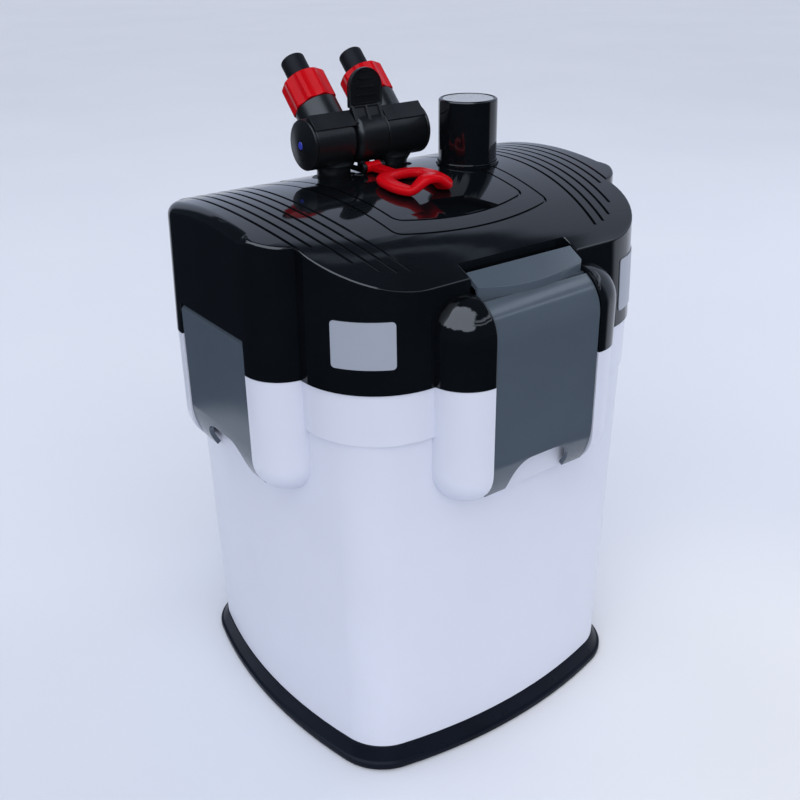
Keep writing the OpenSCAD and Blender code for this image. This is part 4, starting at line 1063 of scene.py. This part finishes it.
# %% Lever parts
def tongue():
    """Thumb tongue, its front towards -Y."""
    plate = walk((12.4, 19.5), (12.4, 30.6), (0, 30.6, 180, 22), (-12.4, 19.5))
    back = raised(plate, [fill(plate)], (0, 0, 3.2))
    bmesh.ops.inset_region(plate, faces=back, thickness=1.5, use_even_offset=True)
    bmesh.ops.translate(plate, vec=(0, 0, -1.0), verts=list({v for f in back for v in f.verts}))
    face_out(plate)
    round_edges(plate, sharp_edges(plate, 50), 0.35, 2)
    return placed(plate, Matrix.Translation((0, -3, 0)) @ LATHE)


def web(x0, x1, *points):
    """Sheet that stands across the lever, drawn as (y, z)."""
    sheet = solid(walk(*points), (0, 0, x1 - x0))
    round_edges(sheet, sharp_edges(sheet, 50), 0.25, 2)
    stand = Matrix(((0, 0, 1, x0), (1, 0, 0, 0), (0, 1, 0, 0), (0, 0, 0, 1)))
    return placed(sheet, stand)


webs = [web(x, x + 2, (-10.8, 11.1), (-5.6, 20.6), (-3, 20.6), (-3, 9), (-8, 7.2)) for x in (-11, -1, 9)]
webs.append(web(-10.9, 10.9, (-8.2, 12.8), (-4.4, 20.6), (-3, 20.6), (-3, 9), (-6, 8)))
ridges = [box_rounded((-9.3 + 1.5 * i, 9.3 - 1.5 * i, -6.1, -4.7, 20.8 + 5 * i, 21.9 + 5 * i), edge=0.25)
          for i in range(5)]
lever = placed(join(tongue(), *webs, *ridges), AT_TAPS)
hub = rimmed(15.8, -11, 11, 5.2, 0.7, ALONG_X)
spindle = rimmed(5, -14.2, 14.2, 0.3, 0.3, ALONG_X, 40)
finish_piece(join(lever, hub, spindle), "tap_lever", "valve_lever", "tap_black", "valve_lever")

# %% [markdown]
# ## Nuts and hose tails
# Each red nut is spun like the other round parts and then gets nine wide flutes with narrow ribs
# between them. A flute is part of a large cylinder beside the nut, so every point of the outer wall
# that lies inside that cylinder is moved inward onto it. The tail that the nut holds is a plain tube
# with a softened mouth.

# %% Fluted nut and tail
def nut(side):
    """Union nut with nine ribs."""
    body = lathe(walk((12.08, 25.6), (14.3, 25.6), (14.3, 26.3, 90, 4), (15.0, 31), (15.0, 38), (15.0, 44.5),
                      (14.6, 45.1), (13.9, 45.5), (11.6, 45.6), (8.5, 45.6), (8.3, 45.3), (8.3, 44.1), (12.08, 44.1),
                      plane=LATHE), 180)
    away, wide, pitch = 26.8, 13.0, 40
    for v in body.verts:
        r = hypot(v.co.x, v.co.y)
        off = (degrees(atan2(v.co.y, v.co.x)) - 13) % pitch
        off = radians(min(off, pitch - off))
        if r > 13.2 and away * sin(off) < wide:
            flute = away * cos(off) - sqrt(wide ** 2 - (away * sin(off)) ** 2)
            share = min(1.0, flute / r)
            v.co = (v.co.x * share, v.co.y * share, v.co.z)
    return placed(face_out(body), along_spout(side))


def tail(side):
    """Hose tail: tube, foot flange and a softened mouth."""
    return spun(along_spout(side), (6, 41), (11.4, 41), (11.4, 43), (7.7, 43), (7.7, 45.9), (8, 46.0), (8, 61.5),
                (7.2, 61.5, 90, 5), (6.5, 62.3), (6.5, 61.8, 90, 4), (6, 61.8), close=True)


for side, word in ((-1, "left"), (1, "right")):
    nut_name = "union_nut_" + word
    finish_piece(nut(side), "red_nut_" + word, nut_name, "red_plastic", nut_name, smooth=50)
    finish_piece(tail(side), "tail_" + word, "housing", "tail_black", "hose_tail_" + word)

# %% [markdown]
# ## Lock ring
# The red ring that locks the tap block is a loop of oval section that lies on the deck, arched up at
# its free end so that a finger finds it. Its centre line is a rounded square. One oval with a dished
# top is copied along that line and each pair of neighbours is bridged, which gives an even band; at
# the right it widens into a pad. Its arm and six-sided hinge block are short bevelled bodies.

# %% Ring loop
PAD_AT, PAD_REACH, ARCH_AT, ARCH_REACH = 345, 62, 266, 44  # degrees round the ring


def squared(c):
    """A cosine or sine, pushed outward so that a circle becomes a rounded square."""
    return abs(c) ** 0.77 * (1 if c > 0 else -1)


def pad_share(t):
    """How far the band widens into a thumb pad at the ring's right side: 0 to 1."""
    off = abs((t - PAD_AT + 180) % 360 - 180)
    return 0.5 + 0.5 * cos(radians(off * 180 / PAD_REACH)) if off < PAD_REACH else 0.0


def ring_point(t):
    """Centre line of the ring at an angle in degrees."""
    inward = 1.7 * pad_share(t)
    x = -7.8 + (17.1 - inward) * squared(cos(radians(t)))
    y = -25.5 + (16.4 - inward) * squared(sin(radians(t)))
    off = abs(t - ARCH_AT)
    arch = 3.6 * (1 + cos(radians(off * 180 / ARCH_REACH))) if off < ARCH_REACH else 0
    return Vector((x, y, deck(y) + 3.7 + arch))


loop, rings = bmesh.new(), []
for t in range(0, 360, 5):
    along = ring_point(t + 2) - ring_point(t - 2)
    along.z *= 0.5
    along.normalize()
    across = along.cross(Vector((0, 0, 1))).normalized()
    over = across.cross(along)
    wide = 5.3 + 0.9 * pad_share(t)
    oval = bmesh.ops.create_circle(loop, segments=20, radius=1.0)["verts"]
    for v in oval:
        x, y = squared(v.co.x), squared(v.co.y)
        dish = 0.9 * (1 - x * x) * (0.35 + pad_share(t)) if y > 0 else 0
        v.co = ring_point(t) + across * wide * x + over * (3.0 * y - dish)
    rings.append(list({e for v in oval for e in v.link_edges}))
for a, b in zip(rings, rings[1:] + rings[:1]):
    bmesh.ops.bridge_loops(loop, edges=a + b)
hinge = spun(AT_LOCK @ ACROSS, (1.8, -5.3), (3.2, -5.3), (3.6, -4.9), (3.6, 4.9), (3.2, 5.3), (1.8, 5.3), steps=6,
             close=True)
arm = solid(walk((-11.6, 17.2), (-11.0, -10), (-4.2, -10), (-3.6, 17.2)), (0, 0, 3.8))
for v in arm.verts:
    v.co.z += 355.0 if v.co.y > 0 else deck(v.co.y) + 1.1
round_edges(arm, arm.edges[:], 0.9)
finish_piece(join(face_out(loop), hinge, arm), "lock_loop", "lock_ring", "red_plastic", "lock_ring", smooth=50)

# %% [markdown]
# ## Priming plunger
# The tall glossy cap at the right is pushed down a few times to start the flow. It is a cup spun from
# its profile, with a rounded top rim round a pale insert, and it slides in a short collar on the deck.

# %% Cap, insert and collar
cap = spun(AT_PRIMER, (16.5, 322), (19, 322), (19, 393.6), (17.6, 393.6, 90, 6), (17.3, 395.0), (17.3, 394.7, 60, 3),
           (16.7, 394.2), (16.7, 394.0), (3, 394.0), (3, 391), (16.5, 391), close=True, steps=96)
stem = rimmed(3, 330, 392, 0.3, 0.1, AT_PRIMER, 32)
piston = rimmed(12.7, 318, 330, 0.5, 0.5, AT_PRIMER, 64)
finish_piece(join(cap, stem, piston), "primer_cap", "primer_plunger", "gloss_black", "primer_plunger")
insert = spun(AT_PRIMER, (0, 394.05), (16.3, 394.05), (16.5, 394.3), (16.2, 394.3, 80, 3), (14.6, 394.62),
              (14.2, 394.5), (13.8, 394.62), (3, 394.7), (2.2, 394.5), (0, 394.45), steps=96)
finish_piece(insert, "cap_insert", "primer_plunger", "pale_disc", "primer_disc", smooth=20)
bezel = spun(AT_PRIMER, (19.3, 345), (20.1, 345), (20.1, 354.9), (19.7, 355.3, 90, 4), (19.5, 355.6), (19.3, 355.3),
             close=True, steps=96)
finish_piece(bezel, "primer_collar", "housing", "gloss_black", "primer_bezel")

# %% [markdown]
# ## Return spring
# A coil spring under the cap lifts it again. A small circle of wire is spun round the plunger's axis
# while it climbs a little at each step. A rigid coil would come out through the pressed cap, and this
# one is rigid: it hangs on the housing and gets a mesh of its own.

# %% Coil spring
def coil(radius, wire, low, high, turns, per_turn=40):
    """A round wire wound into a spring on the Z axis, closed at both ends."""
    bm = bmesh.new()
    bmesh.ops.create_circle(bm, segments=12, radius=wire, matrix=Matrix.Translation((radius, 0, low)) @ LATHE)
    steps = turns * per_turn
    bmesh.ops.spin(bm, geom=bm.verts[:] + bm.edges[:], cent=(0, 0, 0), axis=(0, 0, 1),
                   dvec=(0, 0, (high - low) / steps), angle=2 * pi * turns, steps=steps, use_merge=False)
    bmesh.ops.holes_fill(bm, edges=open_edges(bm))
    return bm


spring = finish_piece(placed(coil(13.8, 0.7, 348.8, 390.2, 5), AT_PRIMER), "return_spring", "housing", "screw_steel",
                      "primer_spring", smooth=50, recalc=True, finish="spring_steel")
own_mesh(spring)

# %% [markdown]
# ## Blank plates
# Two thin plates sit on rounded corners of the head. They are bare here, without any print. A flat
# rounded rectangle is drawn first, sliced into strips, raised to its thickness, and then bent: its
# width becomes an angle about the corner's centre, and its foot follows the slight draft of the wall.

# %% Bent plates
def plate(name, quadrant, a0, a1, z0, z1, node_name):
    """Thin film with round corners, bent onto a corner of the head."""
    c = HEAD - HEAD_CORNER
    wide, high, corner = radians(a1 - a0) * HEAD_CORNER, z1 - z0, 2.2
    film = walk((corner, 0), (wide - corner, 0), (wide - corner, corner, 90, 5), (wide, high - corner),
                (wide - corner, high - corner, 90, 5), (corner, high), (corner, high - corner, 90, 5), (0, corner),
                (corner, corner, 90, 5))
    solid(film, (0, 0, 0.5))
    for i in range(1, 16):
        sliced(film, (wide * i / 16, 0, 0), (1, 0, 0))
    spin_to = Matrix.Rotation(radians(quadrant), 3, "Z")
    for v in film.verts:
        a = radians(a0) + v.co.x / HEAD_CORNER
        outward = Vector((cos(a), sin(a), 0))
        foot = spin_to @ (Vector((c, c, 0)) + outward * HEAD_CORNER)
        z = z0 + v.co.y
        rise = (z - SEAM) / (deck(foot.y * 0.986) - EDGE_R - SEAM)
        spot = foot * (1 - 0.014 * rise) + (spin_to @ outward) * (v.co.z + 0.04)
        v.co = (spot.x, spot.y, z)
    finish_piece(face_out(film), name, "housing", "label_pale", node_name, smooth=40)


plate("front_plate", 180, 26, 66, 284.7, 311.4, "label_plate_left")
plate("side_plate", -90, 14, 62, 279, 312, "label_plate_right")

# %% [markdown]
# ## Carried-over solids
# The hidden inner parts keep their construction solids. Each still gets a finish of its own kind, by
# the slot that the record names for it: foam has open cells, floss has fibres, a ceramic body is
# chalky, steel is brushed, and a quartz sleeve lets light through.

# %% Inner finishes
slots = {row["node"]: row["material_slot"] for row in frame["record"]["subparts"]}
for name, inner in frame["nodes"].items():
    inner.data.materials.clear()
    inner.data.materials.append(finishes[slots[name]])
print("solids with a finish:", len(frame["nodes"]))
